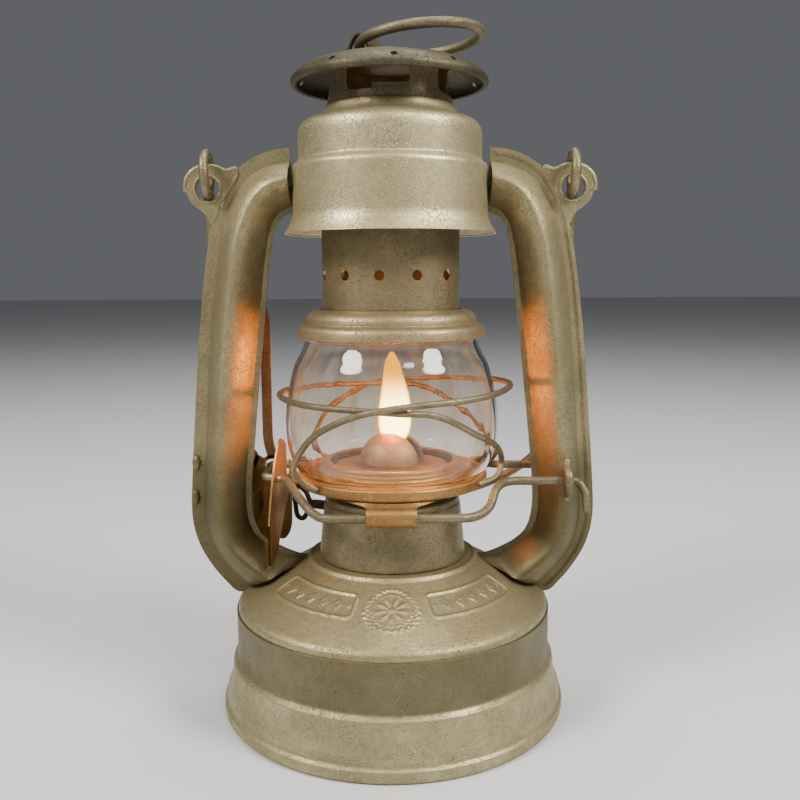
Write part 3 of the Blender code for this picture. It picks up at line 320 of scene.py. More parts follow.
def agedTin(name, pale, dull, pit, sootAndShadeBands=None, worn=0.5, rough=0.42):
    # tinned steel gone dull: broad clouds, a fine grain, dark pits in patches and darker bands by height,
    # which are soot on the chimney and painted shade on the tank wall
    s = Sheet(name)
    clouds = s.span(s.noise(38, 4, 0.62), 0.36, 0.66)
    patches = s.span(s.noise(85, 3, 0.55), 0.40, 0.64)
    grain = s.noise(1900, 2, 0.7)
    fine = s.noise(420, 4, 0.75)
    pits = 1 - s.span(s.noise(1500, 3, 0.75), 0.37, 0.46)
    specks = 1 - s.span(s.cells(1150), 0.14, 0.30)
    dark = (pits * (0.45 + 0.55 * patches) + specks * (0.45 + 0.55 * patches)).least(1.0)
    color = s.mix(clouds, shade(*dull), shade(*pale))
    color = s.mix(s.span(fine, 0.42, 0.62) * 0.35, color, shade(*[v * 0.62 for v in dull]))
    color = s.mix(s.span(grain, 0.30, 0.75) * 0.30, color, shade(*[v * 1.4 for v in pale]))
    color = s.mix(dark * worn, color, shade(*pit))
    # each band darkens the colour past a height; the chimney's band is soot, the tank wall's band is painted
    # shade
    for low, high, tint, share, wander in sootAndShadeBands or []:
        band = s.span(s.height() + (s.noise(60, 3) - 0.5) * wander, low, high)
        color = s.mix(band * share * (0.70 + 0.30 * s.noise(120, 4, 0.7)), color, shade(*tint))
    relief = grain * 0.45 - dark * 0.9 + fine * 0.8
    return s.set(Base_Color=color, Metallic=0.88, Roughness=(rough + 0.14 * (1 - clouds) + 0.22 * dark),
                 Normal=s.bump(relief, 0.00014, 0.6))


tankTin = agedTin("tankTin", (0.43, 0.364, 0.196), (0.28, 0.233, 0.12), (0.08, 0.063, 0.028))
# painted shade: the wall above its foot is darkened and the upward-facing foot left paler, as if lit only
# from above
wallTinPaintedShade = agedTin("wallTinPaintedShade", (0.46, 0.398, 0.224), (0.31, 0.262, 0.14), (0.08, 0.063, 0.028),
                  sootAndShadeBands=[(0.0192, 0.0218, (0.125, 0.104, 0.055), 0.95, 0.0008)])
# its band makes the tubes darker towards the bottom, below about 90 mm
tubeTin = agedTin("tubeTin", (0.4, 0.339, 0.188), (0.25, 0.21, 0.112), (0.08, 0.063, 0.028), worn=0.6,
                  sootAndShadeBands=[(0.105, 0.078, (0.1, 0.0834, 0.0384), 0.9, 0.012)])
# painted light: a paler copy of the tin, so the hood reads brighter as if more strongly lit than the rest
hoodTinPaintedLight = agedTin("hoodTinPaintedLight", (0.62, 0.529, 0.308), (0.42, 0.349, 0.192), (0.09, 0.0679, 0.032),
                  worn=0.75, rough=0.38)
sootTin = agedTin("sootTin", (0.37, 0.296, 0.156), (0.21, 0.165, 0.084), (0.06, 0.0436, 0.02), worn=0.8,
                  sootAndShadeBands=[(0.166, 0.180, (0.09, 0.0485, 0.0176), 0.8, 0.012)], rough=0.36)
bellTin = agedTin("bellTin", (0.44, 0.349, 0.188), (0.29, 0.223, 0.116), (0.08, 0.0534, 0.024), worn=0.6)
drumTin = agedTin("drumTin", (0.3, 0.247, 0.14), (0.18, 0.15, 0.084), (0.06, 0.0485, 0.024), worn=0.7)
capTin = agedTin("capTin", (0.14, 0.119, 0.0704), (0.07, 0.0601, 0.0344), (0.03, 0.0223, 0.0128),
                 worn=0.8, rough=0.46)
neckTin = agedTin("neckTin", (0.32, 0.26, 0.16), (0.20, 0.155, 0.09), (0.05, 0.037, 0.022), worn=0.8)
plateTin = agedTin("plateTin", (0.44, 0.25, 0.085), (0.27, 0.145, 0.05), (0.08, 0.045, 0.02), worn=0.7)
coneTin = agedTin("coneTin", (0.33, 0.21, 0.10), (0.22, 0.135, 0.06), (0.10, 0.055, 0.025),
                  worn=0.5, rough=0.5)
brassTin = agedTin("brassTin", (0.42, 0.252, 0.088), (0.24, 0.136, 0.048), (0.07, 0.0436, 0.016), worn=0.5)
greyWire = agedTin("greyWire", (0.3, 0.252, 0.148), (0.16, 0.132, 0.0736), (0.06, 0.0485, 0.024), worn=0.7)
darkWire = agedTin("darkWire", (0.085, 0.0679, 0.044), (0.045, 0.0359, 0.024), (0.02, 0.0165, 0.0112),
                   worn=0.5)


def globeGlass():
    # clear glass with faint vertical streaks; lamp rays go straight through it
    s = Sheet("globeGlass")
    streak = s.noise(70, 2, 0.5, stretch=(1.0, 1.0, 0.12))
    film = s.noise(160, 4, 0.7, stretch=(1.0, 1.0, 0.25))
    tint = s.mix(s.span(film, 0.45, 0.7), shade(0.97, 0.91, 0.84), shade(0.90, 0.74, 0.56))
    s.set(Base_Color=tint, Roughness=(0.012 + 0.05 * s.span(film, 0.5, 0.75)), IOR=1.46,
          Transmission_Weight=1.0, Normal=s.bump(streak, 0.0009, 0.45))
    clear = s.node("ShaderNodeBsdfTransparent", {}, {"Color": shade(0.97, 0.96, 0.94)})
    lamp = s.node("ShaderNodeLightPath", {}, {}, "Is Shadow Ray")
    mixed = s.node("ShaderNodeMixShader", {}, {0: lamp, 1: Val(s, s.shader.outputs[0]), 2: clear})
    s.tree.links.new(mixed.socket, s.tree.nodes["Material Output"].inputs["Surface"])
    return s.material


def wovenWick():
    # cotton: crossed threads as two waves, charred towards its top
    s = Sheet("wovenWick")
    weave = s.node("ShaderNodeTexWave", {"bands_direction": "Z"}, {"Vector": s.place, "Scale": 420})
    char = s.span(s.height(), 0.0935, 0.0975)
    color = s.mix(weave * 0.35, shade(0.62, 0.55, 0.42), shade(0.40, 0.34, 0.25))
    return s.set(Base_Color=s.mix(char, color, shade(0.02, 0.017, 0.015)), Roughness=0.9,
                 Normal=s.bump(weave, 0.0002, 0.6))


def corkRing():
    s = Sheet("corkRing")
    color = s.ramp(s.noise(700, 4, 0.7), [(0.3, (0.16, 0.09, 0.05)), (0.7, (0.42, 0.29, 0.17))])
    return s.set(Base_Color=color, Roughness=0.9, Normal=s.bump(s.noise(700, 4), 0.0003, 0.5))


glass, cotton, cork = globeGlass(), wovenWick(), corkRing()
print("lantern: finishes ready")


# ---- tank ----

tank = {
    "tilt": 29.2,             # degrees of the sloping top
    "panelReach": (17.5, 66), # degrees from the front that each raised panel covers
    "panelMid": 41.6, "panelHalf": 5.0, "panelRidge": 0.42,
    "rosetteRadius": 10.0, "rosetteMid": 42.3, "petals": 9,
    "dent": 0.14,
}


def lineHeight(distance, width, tall):
    # a rounded ridge: tall at distance 0, fading over its width
    return tall * np.exp(-(distance / width) ** 2)


def boxDistance(u, v, halfU, halfV, corner):
    # signed distance to a rounded rectangle
    qu, qv = np.abs(u) - halfU + corner, np.abs(v) - halfV + corner
    return np.hypot(np.maximum(qu, 0), np.maximum(qv, 0)) + np.minimum(np.maximum(qu, qv), 0) - corner


def tankRelief(angle, radius):
    # pressed ornament on the slope, in mm: two panels of lozenges and a flower between them
    a = np.degrees((angle + np.pi) % (2 * np.pi) - np.pi)
    first, last = tank["panelReach"]
    mid = (first + last) / 2
    u = np.radians(np.abs(a) - mid) * tank["panelMid"]
    v = (radius - tank["panelMid"]) / np.cos(np.radians(tank["tilt"]))
    halfU = np.radians(last - first) / 2 * tank["panelMid"]
    edge = boxDistance(u, v, halfU, tank["panelHalf"], 2.0)
    rise = lineHeight(edge, 0.55, tank["panelRidge"])
    inside = np.clip(-(edge + 1.3) / 0.5, 0, 1)
    pitch = 2 * halfU / 6.2
    cell = (u / pitch + 0.5) % 1 - 0.5
    lozenge = np.abs(cell) * pitch / 2.1 + np.abs(v) / 3.1
    rise = rise + inside * (0.34 * np.clip((1.0 - lozenge) * 2.6, 0, 1)
                            - 0.20 * np.clip((0.45 - lozenge) * 4.0, 0, 1))
    x = np.radians(a) * tank["rosetteMid"]
    y = (radius - tank["rosetteMid"]) / np.cos(np.radians(tank["tilt"]))
    reach = np.hypot(x, y)
    turn = np.arctan2(x, y)
    rim = tank["rosetteRadius"] * 0.86 * (1 + 0.055 * np.cos(turn * 26))
    disc = reach - rim
    rise = np.where(disc < 1.2, 0.0, rise)
    rise = rise + lineHeight(disc, 0.5, 0.40) + lineHeight(reach - rim * 0.76, 0.35, 0.26)
    petal = 0.5 + 0.5 * np.cos(turn * tank["petals"])
    flower = np.clip(1 - np.abs(reach - 3.6) / 2.6, 0, 1) ** 0.7
    rise = rise + 0.42 * petal ** 1.5 * flower + 0.4 * np.clip(1 - reach / 1.3, 0, 1) ** 0.5
    return rise


def softDents(angle, height, size):
    # hand-worn sheet: three slow waves that never repeat round the turn
    return size * (0.5 * np.sin(3 * angle + 0.9 + height * 0.05) + 0.3 * np.sin(5 * angle - height * 0.11)
                   + 0.2 * np.sin(8 * angle + 2 + height * 0.19))


def makeTankTop():
    slopeLine = np.linspace([32.4, 55.15], [55.2, 42.3], 96)
    line = np.concatenate([
        [(11.0, 56.6), (20, 56.6), (27.6, 56.6)],
        through([(28.8, 56.58), (29.7, 56.5), (30.5, 56.75), (31.3, 56.45), (31.8, 55.65), (32.3, 55.2)], 4),
        slopeLine,
        through([(55.8, 41.95), (56.7, 41.3), (57.45, 40.4), (57.8, 39.4), (57.85, 38.3), (57.8, 37.4)], 5),
        [(57.7, 33.9)]])
    section = sheetSection(line, 0.6)

    def shape(a, r, z):
        rise = tankRelief(a, r) * np.clip((r - 33) / 2, 0, 1) * np.clip((55 - r) / 2, 0, 1)
        rise = rise + softDents(a, z, 0.10) * np.clip((r - 34) / 6, 0, 1) * np.clip((56 - r) / 3, 0, 1)
        tilt = np.radians(tank["tilt"])
        return r + rise * np.sin(tilt), z + rise * np.cos(tilt)

    grid, quads = turned(section, 720, shape)
    return piece("tankTop", [(grid * mm, quads)], tankTin, "lantern", ["tank_top"])


def makeTankWall():
    line = np.concatenate([
        through([(57.98, 38.25), (58.2, 38.3), (58.42, 38.2), (58.5, 37.8), (58.45, 37.0), (58.4, 35.6)], 4),
        through([(58.4, 34.0), (58.42, 28.0), (58.4, 22.6), (58.6, 21.0), (59.3, 20.0), (60.0, 19.3),
                 (60.3, 18.0), (60.5, 15.5), (61.0, 12.6), (61.9, 10.0), (62.6, 8.2), (62.75, 6.6),
                 (62.7, 5.6), (63.1, 4.9), (63.7, 4.3), (63.9, 3.2), (63.85, 1.6), (63.4, 0.5),
                 (62.6, 0.02), (61.4, 0.0), (60.9, 0.05)], 6)])

    def shape(a, r, z):
        worn = softDents(a, z, tank["dent"]) * np.clip((r - 55) / 2, 0, 1) * np.clip((z - 6) / 8, 0, 1)
        return r - np.abs(worn) * 0.9, z

    grid, quads = turned(sheetSection(line, 0.6), 360, shape)
    return piece("tankWall", [(grid * mm, quads)], wallTinPaintedShade, "lantern", ["tank_wall"])


def makeTankFloor():
    line = np.array([(0, 8.0), (30, 8.0), (52, 8.2), (54, 7.4), (56, 8.0), (60.8, 8.0), (61.35, 7.6),
                     (61.4, 5.0), (60.8, 5.0), (60.75, 7.2), (56, 7.4), (54, 6.8), (52, 7.6), (0, 7.4)])
    grid, quads = turned(line, 120, closed=False)
    return piece("tankFloor", [(grid * mm, quads)], tankTin, "lantern", ["tank_floor"])


def makeFiller():
    # a screw cap with a milled edge; its section stands on the rear slope
    tilt = np.radians(tank["tilt"])
    lean = np.array([[1, 0, 0], [0, np.cos(tilt), -np.sin(tilt)], [0, np.sin(tilt), np.cos(tilt)]])
    foot = np.array([0, 44.5, 48.14])
    line = through([(0, 8.5), (3, 8.5), (6.2, 8.45), (7.2, 8.2), (8.4, 8.1), (9.2, 7.8), (9.6, 7.0),
                    (9.65, 4.5), (9.65, 2.2), (9.6, 1.2), (9.3, 0.85), (8.6, 0.8)], 4)
    inner = [(8.15, 0.85), (8.1, 2.0), (8.1, 6.2), (7.6, 6.8), (0, 6.8)]
    section = np.concatenate([line, inner])

    def shape(a, r, z):
        side = np.clip((r - 9.3) / 0.2, 0, 1)
        side = side * np.clip((z - 1.3) / 0.4, 0, 1) * np.clip((7.2 - z) / 0.4, 0, 1)
        return r - side * (0.18 + 0.18 * np.cos(a * 44)), z

    grid, quads = turned(section, 352, shape, closed=False)
    placed = (grid @ lean + foot) * mm
    return piece("fillerCap", [(placed, quads)], tankTin, "filler_cap", ["filler_cap"])


makeTankTop()
makeTankWall()
makeTankFloor()
makeFiller()
print("lantern: tank made")


# ---- burner ----

burner = {"slotTurn": -25, "coneBase": 91.4, "coneRadius": 11.8, "slotHalf": 2.2, "wall": 0.6}


def alongSlot(grid):
    turn = np.radians(burner["slotTurn"])
    c, s = np.cos(turn), np.sin(turn)
    return grid @ np.array([[c, s, 0], [-s, c, 0], [0, 0, 1]])


def makeDrum():
    line = through([(22.0, 80.0), (23.4, 80.0), (24.4, 79.7), (24.95, 79.0), (25.0, 78.0), (25.05, 77.2),
                    (25.3, 76.6), (25.45, 75.6), (26.2, 68.6), (26.9, 61.8), (27.2, 59.0), (27.3, 57.6),
                    (27.35, 56.95)], 7)
    grid, quads = turned(sheetSection(line, 0.6), 192, lambda a, r, z: (r - np.abs(softDents(a, z, 0.12)), z))
    return piece("burnerDrum", [(grid * mm, quads)], drumTin, "lantern", ["burner_drum"])


def makeCone(name, side, node):
    # half a dome on one side of the slot: rings of radius sin, height cos, cut flat at the slot
    height = np.linspace(0, 1, 26)[:, None]
    across = np.linspace(-1, 1, 49)[None, :]
    sheets = []
    for shrink in (0.0, burner["wall"]):
        radius = burner["coneRadius"] - shrink
        tall = radius * 0.92
        level = radius * np.sqrt(np.clip(1 - (height * 0.985) ** 2.2, 0, 1))
        sweep = np.arcsin(np.clip(burner["slotHalf"] / np.maximum(level, burner["slotHalf"] + 0.01), 0, 1))
        turn = across * (np.pi / 2 - sweep)
        x = level * np.sin(turn)
        y = side * level * np.cos(turn)
        z = burner["coneBase"] + tall * height + 0 * turn
        sheets.append(np.stack([x, y, z], axis=-1))
    outer, inner = sheets
    ring = np.concatenate([outer, inner[:, ::-1]], axis=1)
    bottom, top = (np.concatenate([edge, edge[:, ::-1]], axis=1) for edge in (inner[:1], inner[-1:]))
    rows = np.concatenate([bottom, ring, top], axis=0)
    faces = gridQuads(len(rows), rows.shape[1], False, True)
    return piece(name, [(alongSlot(rows) * mm, faces)], coneTin, "lantern", [node], crease=50)


key = {"height": 70.0, "offset": 4.1, "rod": 1.1, "sleeve": 1.9, "handle": 1.0}


def makeKey():
    # the wick's rod, a thicker collar outside the drum and a bent wire handle
    y = key["offset"]
    rod = np.linspace([7.5, y, 0], [-38.0, y, 0], 40)
    collar = np.linspace([-28.2, y, 0], [-36.4, y, 0], 12)
    handle = through([(-37.0, y, 0), (-38.6, y, 1.6), (-40.2, y, 4.6), (-43.4, y, 6.4), (-45.4, y, 3.4),
                      (-45.0, y, -1.6), (-44.2, y, -5.6), (-41.6, y, -6.4), (-39.4, y, -3.4),
                      (-38.0, y, -0.6)], 8)
    raised = [0, 0, key["height"]]
    grids = [wire(rod, key["rod"]), wire(collar, key["sleeve"]), wire(handle, key["handle"])]
    return piece("wickKey", [((alongSlot(grid) + raised) * mm, quads) for grid, quads in grids], darkWire,
                 "wick_raiser", ["wick_spindle"])


makeDrum()
makeKey()
makeCone("coneFront", -1, "burner_cone_front")
makeCone("coneRear", 1, "burner_cone_rear")
print("lantern: burner made")


# ---- gallery, guard and globe ----

gallery = {"plate": 86.2, "reach": 34.5, "sleeveLength": 17.0, "frameHeight": 86.7, "frameDrop": 7.9,
           "guardRadius": 1.1, "globeRadius": 39.0, "rimRadius": 35.2}


def makePlate():
    line = through([(22.7, 92.35), (23.8, 92.5), (24.7, 92.35), (25.0, 91.7), (25.05, 90.6), (25.5, 90.1),
                    (26.6, 89.9), (27.2, 89.3), (27.35, 88.3), (27.9, 87.7), (29.2, 87.5), (29.9, 87.1),
                    (30.8, 86.85), (32.8, 86.8), (33.5, 87.0), (33.9, 87.8), (34.5, 88.15), (35.05, 87.7),
                    (35.2, 86.7), (35.2, 85.6), (35.0, 84.7), (34.4, 84.25), (33.7, 84.4)], 6)
    grid, quads = turned(sheetSection(line, 0.55), 240)
    return piece("galleryPlate", [(grid * mm, quads)], plateTin, "gallery", ["globe_plate"])


def makeHanger(name, side, node):
    # a tongue that narrows from the plate's rim down to an oval sleeve round the lift frame
    sleeve = gallery["frameHeight"] - gallery["frameDrop"]
    v = np.linspace(0, 1, 20)[:, None]
    u = np.linspace(-1, 1, 41)[None, :]
    half = 8.3 + 7.2 * v ** 2.2
    x = half * u
    rimY = np.sqrt(gallery["rimRadius"] ** 2 - x ** 2) - 0.5
    startY = gallery["reach"] + 0 * x
    y = startY + (rimY - startY) * v ** 1.3
    z = sleeve + 3.0 + (83.95 - sleeve - 3.0) * v ** 0.9
    z = z + 0 * x
    front = np.stack([x, side * y, z], axis=-1)
    back = np.stack([x, side * (y - 0.6), z], axis=-1)
    rows = np.concatenate([front, back[:, ::-1]], axis=1)
    ends = [np.concatenate([rows[k:k + 1, :41], rows[k:k + 1, :41][:, ::-1]], axis=1) for k in (0, -1)]
    rows = np.concatenate([ends[0], rows, ends[1]], axis=0)
    turn = np.arange(32) / 32 * 2 * np.pi
    oval = np.stack([np.cos(turn) * 2.55, np.sign(np.sin(turn)) * np.abs(np.sin(turn)) ** 0.9 * 3.25], axis=1)
    bore = oval * np.array([2.0 / 2.55, 2.65 / 3.25])
    length = gallery["sleeveLength"] / 2
    stations = [(-length, bore), (-length, oval * 0.97), (-length + 0.3, oval), (length - 0.3, oval),
                (length, oval * 0.97), (length, bore)]
    pipe = np.stack([np.stack([np.full(32, at), side * gallery["reach"] + ring[:, 0], sleeve + ring[:, 1]],
                              axis=1) for at, ring in stations])
    return piece(name, [(rows * mm, gridQuads(len(rows), rows.shape[1], False, True)),
                        (pipe * mm, gridQuads(len(stations), 32, True, True))], plateTin, "gallery", [node])


def guardLine(mirror):
    # rises from the rim at its own side, passes high round the far side and comes back behind
    rim = gallery["rimRadius"] + gallery["guardRadius"] + 0.3
    near = gallery["globeRadius"] + gallery["guardRadius"] + 0.9
    far = near + 2 * gallery["guardRadius"] + 0.3
    if mirror:
        route = [(46, rim, 0.4), (51, rim + 3.4, 3.4), (50, far, 8.0), (46, far, 13.5), (35, far, 21.3),
                 (18, far, 27.7), (0, far, 31.0), (-45, far, 33.0), (-90, far, 34.0)]
    else:
        route = [(60, rim, 0.4), (69, rim + 3.4, 2.2), (75, near, 7.0), (64, near, 14.0), (45, near, 20.0),
                 (22, near, 27.8), (0, near, 29.4), (-45, near, 30.4), (-90, near, 30.8)]
    route = np.array(route)
    turn = np.radians(route[:, 0])
    side = -1 if mirror else 1
    front = np.stack([side * route[:, 1] * np.sin(turn), -route[:, 1] * np.cos(turn),
                      gallery["plate"] + route[:, 2]], axis=1)
    return through(np.concatenate([front, front[-2::-1] * [1, -1, 1]]), 12)


def makeGlobe():
    base, tall = 87.1, 51.0
    line = through([(30.9, base + tall), (31.3, base + tall - 0.9), (31.5, base + tall - 2.4),
                    (33.0, base + tall - 6.0), (35.6, base + tall * 0.78), (37.9, base + tall * 0.60),
                    (39.0, base + tall * 0.42), (38.6, base + tall * 0.26), (37.0, base + tall * 0.13),
                    (34.9, base + tall * 0.055), (33.1, base + tall * 0.02), (32.5, base + 0.1)], 10)
    grid, quads = turned(sheetSection(line, 1.3), 192)
    return piece("globeGlass", [(grid * mm, quads)], glass, "gallery", ["globe"])


makePlate()
makeHanger("hangerFront", -1, "front_hanger")
makeHanger("hangerRear", 1, "rear_hanger")
for word, mirror in (("a", False), ("b", True)):
    grid, quads = wire(guardLine(mirror), gallery["guardRadius"])
    piece("guardWire_" + word, [(grid * mm, quads)], greyWire, "gallery", ["guard_wire_" + word])
makeGlobe()
print("lantern: gallery and globe made")


# ---- lift frame and staples ----

lift = {"radius": 1.55, "hingeX": 62.8, "tubeY": 13.55, "leftX": -46.5, "leverY": 12.8, "loop": 1.45}


def makeLiftFrame():
    high, low = gallery["frameHeight"], gallery["frameHeight"] - gallery["frameDrop"]
    reach, y = gallery["reach"], lift["tubeY"]
    knots = [(69.5, -y - 3.0, high - 9.8), (69.3, -y - 2.8, high - 7.0), (69.0, -y - 2.2, high - 4.0),
             (66.8, -y - 0.4, high - 0.8), (62.8, -y, high), (52.0, -y - 0.3, high), (42.0, -y - 1.0, high),
             (36.8, -y - 7.0, high - 1.2), (33.8, -27.0, low + 2.0), (28.5, -32.2, low), (20.0, -reach, low),
             (0.0, -reach, low), (-20.0, -reach, low), (-26.2, -31.0, low + 0.6),
             (-31.8, -23.5, low + 4.0), (-36.2, -15.0, high - 1.0), (-39.5, -8.2, high - 0.4),
             (-46.0, -5.2, high), (lift["leftX"], -1.0, high), (lift["leftX"], 9.0, high),
             (-46.3, lift["leverY"] + 3.2, high), (-36.2, 23.5, high - 2.0), (-29.0, 30.0, low + 1.0),
             (-20.0, reach, low), (0.0, reach, low), (20.0, reach, low), (28.5, 32.2, low),
             (33.8, 27.0, low + 2.0), (36.8, y + 7.0, high - 1.2), (42.0, y + 1.0, high),
             (lift["hingeX"], y, high), (67.8, y, high)]
    line = through(knots, 8)
    keep = np.concatenate([[True], np.linalg.norm(np.diff(line, axis=0), axis=1) > 0.05])
    grid, quads = wire(line[keep], lift["radius"], sides=16)
    return piece("liftFrame", [(grid * mm, quads)], greyWire, "lift_frame", ["lift_frame"])


def makeStaple(name, side, node):
    # a wire loop out from the tube, round the frame and back
    x, mid = lift["hingeX"], gallery["frameHeight"]
    near, far = 11.3 + lift["loop"], 16.9 + lift["loop"]
    lower = [(near, -6.7), (near + 0.7, -5.3), (near + 2.6, -4.2), (far - 0.5, -2.6)]
    loop = lower + [(far, 0.0)] + [(out, -drop) for out, drop in lower[::-1]]
    knots = [(x, side * out, mid + rise) for out, rise in loop]
    grid, quads = wire(through(knots, 6), lift["loop"], sides=14)
    return piece(name, [(grid * mm, quads)], greyWire, "lantern", [node])


lever = {"pivot": (-56.0, 90.0), "eye": (-46.5, 86.7), "top": 148.0, "strap": (-49.9, -46.1), "wall": 0.8}


def ringPlate(x, z, hole, reach, low, high):
    # a flat washer standing in XZ
    turn = np.arange(40) / 40 * 2 * np.pi
    ring = np.stack([np.cos(turn), np.sin(turn)], axis=1)
    return slab([x, z] + ring * reach, [x, z] + ring * hole, low, high, 0.12)


def bar(line, half, low, high):
    # a flat bar in XZ along its line: left edge, right edge, with eased corners and closed ends
    run = slope(line)
    side = np.stack([-run[:, 1], run[:, 0]], axis=1)
    corners = [(-half, low + 0.12), (-half + 0.12, low), (half - 0.12, low), (half, low + 0.12),
               (half, high - 0.12), (half - 0.12, high), (-half + 0.12, high), (-half, high - 0.12)]
    rows = np.stack([np.concatenate([line + side * u, np.full((len(line), 1), y)], axis=1)[:, [0, 2, 1]]
                     for u, y in corners], axis=1)
    first = rows[:1].mean(axis=1, keepdims=True) + 0 * rows[:1]
    last = rows[-1:].mean(axis=1, keepdims=True) + 0 * rows[-1:]
    return np.concatenate([first, rows, last]), gridQuads(len(rows) + 2, len(corners), False, True)


def makeLever():
    # a thumb strap on an eye round the frame's cross bar, and a link to the pivot
    low, high = lift["leverY"] - lever["wall"] / 2, lift["leverY"] + lever["wall"] / 2
    left, right = lever["strap"]
    mid, half = (left + right) / 2, (right - left) / 2
    eyeX, eyeZ = lever["eye"]
    strap = through([(mid - 1.3, lever["top"]), (mid - 0.6, lever["top"] - 2.5), (mid, lever["top"] - 6),
                     (mid, 120.0), (mid, 104.0), (mid + 0.2, 97.0), (eyeX - 0.2, 92.0), (eyeX, 90.0)], 8)
    link = np.linspace([eyeX - 4.0, eyeZ + 1.2], [lever["pivot"][0] + 2.6, lever["pivot"][1] - 0.7], 10)
    grids = [bar(strap, half, low, high), bar(link, 2.4, low, high),
             ringPlate(eyeX, eyeZ, 3.0, 4.6, low, high), ringPlate(*lever["pivot"], 1.8, 4.4, low, high)]
    return piece("liftLever", [(grid * mm, quads) for grid, quads in grids], greyWire, "lift_lever",
                 ["lift_lever"])


def makeBracket():
    # a plate behind the left tube, bent forward into a leaf that guides the frame: X, Y and the two edges
    stations = through(np.array([
        (-60.2, 14.3, 66.0, 94.6), (-56.0, 14.35, 62.0, 95.0), (-53.0, 14.4, 59.5, 90.0),
        (-50.0, 14.4, 58.0, 83.4), (-45.0, 14.5, 57.4, 83.0), (-42.0, 14.3, 57.8, 83.2),
        (-39.9, 13.2, 62.6, 84.2), (-39.3, 11.4, 72.5, 86.6), (-39.5, 9.0, 78.5, 91.4),
        (-40.2, 5.0, 76.0, 96.6), (-41.0, 1.0, 71.0, 99.6), (-41.7, -2.4, 66.4, 99.6),
        (-42.4, -6.0, 61.0, 95.0), (-43.1, -9.0, 57.6, 89.0), (-43.9, -11.4, 55.4, 80.0),
        (-44.6, -13.2, 55.2, 70.0)]), 6)
    share = np.linspace(0, 1, 25)[None, :, None]
    low, high = stations[:, None, 2:3], stations[:, None, 3:]
    place = np.concatenate([stations[:, None, :2] + 0 * share, low + (high - low) * share], axis=-1)
    run = slope(stations[:, :2])
    side = np.stack([-run[:, 1], run[:, 0], 0 * run[:, 0]], axis=1)[:, None]
    near, far = place - side * 0.35, place + side * 0.35
    rows = np.concatenate([near, far[:, ::-1]], axis=1)
    count = near.shape[1]
    middle = [np.concatenate([place[k:k + 1], place[k:k + 1, ::-1]], axis=1) for k in (0, -1)]
    rows = np.concatenate([middle[0], rows, middle[1]])
    made = piece("leverBracket", [(rows * mm, gridQuads(len(rows), 2 * count, False, True))], plateTin,
                 "lantern", ["lever_bracket"])
    turn = np.arange(24) / 24 * 2 * np.pi
    slot = np.stack([2.55 * np.cos(turn), 2.55 * np.sin(turn) + np.where(np.sin(turn) > 0, 9.5, 0)], axis=1)
    slot = slot + [-7.2, gallery["frameHeight"]]
    carve(made, prism("frameSlot", slot * mm, 90, (0.036, 0.0465)), flip=True)
    return made


makeLiftFrame()
makeLever()
makeBracket()
makeStaple("stapleFront", -1, "front_staple")
makeStaple("stapleRear", 1, "rear_staple")
print("lantern: lifting gear made")


# ---- side tubes ----

tube = {
    # outer X, Z and inner X, Z of the seam flange, from the hood down to the tank
    "stations": [(35.6, 204.8, 35.2, 182.2), (43.0, 203.6, 38.8, 180.4), (50.0, 200.6, 41.3, 177.0),
                 (56.0, 195.5, 42.8, 171.5), (62.2, 185.0, 44.1, 162.0), (65.8, 170.0, 45.5, 149.0),
                 (69.4, 144.0, 48.0, 127.0), (72.2, 114.0, 50.5, 103.0), (74.5, 85.0, 52.4, 82.0),
                 (75.0, 71.0, 52.1, 71.5), (73.0, 61.0, 50.0, 65.0), (69.0, 53.0, 46.0, 61.0),
                 (63.5, 45.8, 41.0, 58.2), (57.4, 41.15, 37.2, 56.6), (47.5, 46.55, 33.6, 55.6),
                 (36.5, 52.75, 31.0, 55.75)],
    "outerFlange": 5.0, "innerFlange": 2.2, "depth": 10.6, "wall": 0.6, "gap": 0.3,
    "hem": 2.4, "hemRise": 0.5,
}


def tubeHalf(right, side, hemmed):
    # stations across each half: flange, fillet, rounded channel, fillet, flange, lofted down the tube
    stations = through(np.array(tube["stations"]), 14)
    outer, inner = stations[:, None, :2], stations[:, None, 2:]
    across = inner - outer
    width = np.linalg.norm(across, axis=-1, keepdims=True)
    across = across / width
    first = np.minimum(tube["outerFlange"], width * 0.24)
    last = np.minimum(tube["innerFlange"], width * 0.12)
    room = width - first - last
    depth = np.minimum(tube["depth"], room * 0.68)
    share = np.concatenate([np.linspace(0, 1, 9)[:-1] * 1.0, 1 + np.linspace(0, 1, 45)[:-1],
                            2 + np.linspace(0, 1, 9)])[None, :, None]
    w = 0.5 - 0.5 * np.cos(np.pi * np.clip(share - 1, 0, 1))
    along = np.clip(share, 0, 1) * first + room * w + np.clip(share - 2, 0, 1) * last
    swell = np.sin(np.pi * w ** 0.90)
    bulge = depth * (0.55 * swell + 0.45 * (1 - np.abs(1 - 2 * w ** 0.90) ** 1.3))
    bulge = bulge * (1 - np.exp(-(swell / 0.14) ** 1.6))
    hem = tube["hemRise"] * np.clip((tube["hem"] - along) / 0.15, 0, 1) * hemmed
    near = tube["gap"] / 2 + bulge
    centre = outer + across * along
    # the outside follows the slope of the channel, so the wall keeps its thickness on its flanks
    rise = np.gradient(bulge[..., 0], axis=1) / np.maximum(np.gradient(along[..., 0], axis=1), 1e-4)
    lean = (rise / np.sqrt(1 + rise ** 2))[..., None]
    square = 1 / np.sqrt(1 + rise ** 2)[..., None]
    top = centre - across * lean * tube["wall"]
    outward = near + (tube["wall"] * square) + hem
    front = np.concatenate([right * top[..., :1], side * outward, top[..., 1:]], axis=-1)
    back = np.concatenate([right * centre[..., :1], side * near + 0 * along, centre[..., 1:]], axis=-1)
    rows = np.concatenate([front, back[:, ::-1]], axis=1)
    count = front.shape[1]
    ends = [np.concatenate([rows[k:k + 1, :count], rows[k:k + 1, :count][:, ::-1]], axis=1) for k in (0, -1)]
    rows = np.concatenate([ends[0], rows, ends[1]], axis=0)
    return rows * mm, gridQuads(len(rows), rows.shape[1], False, True)


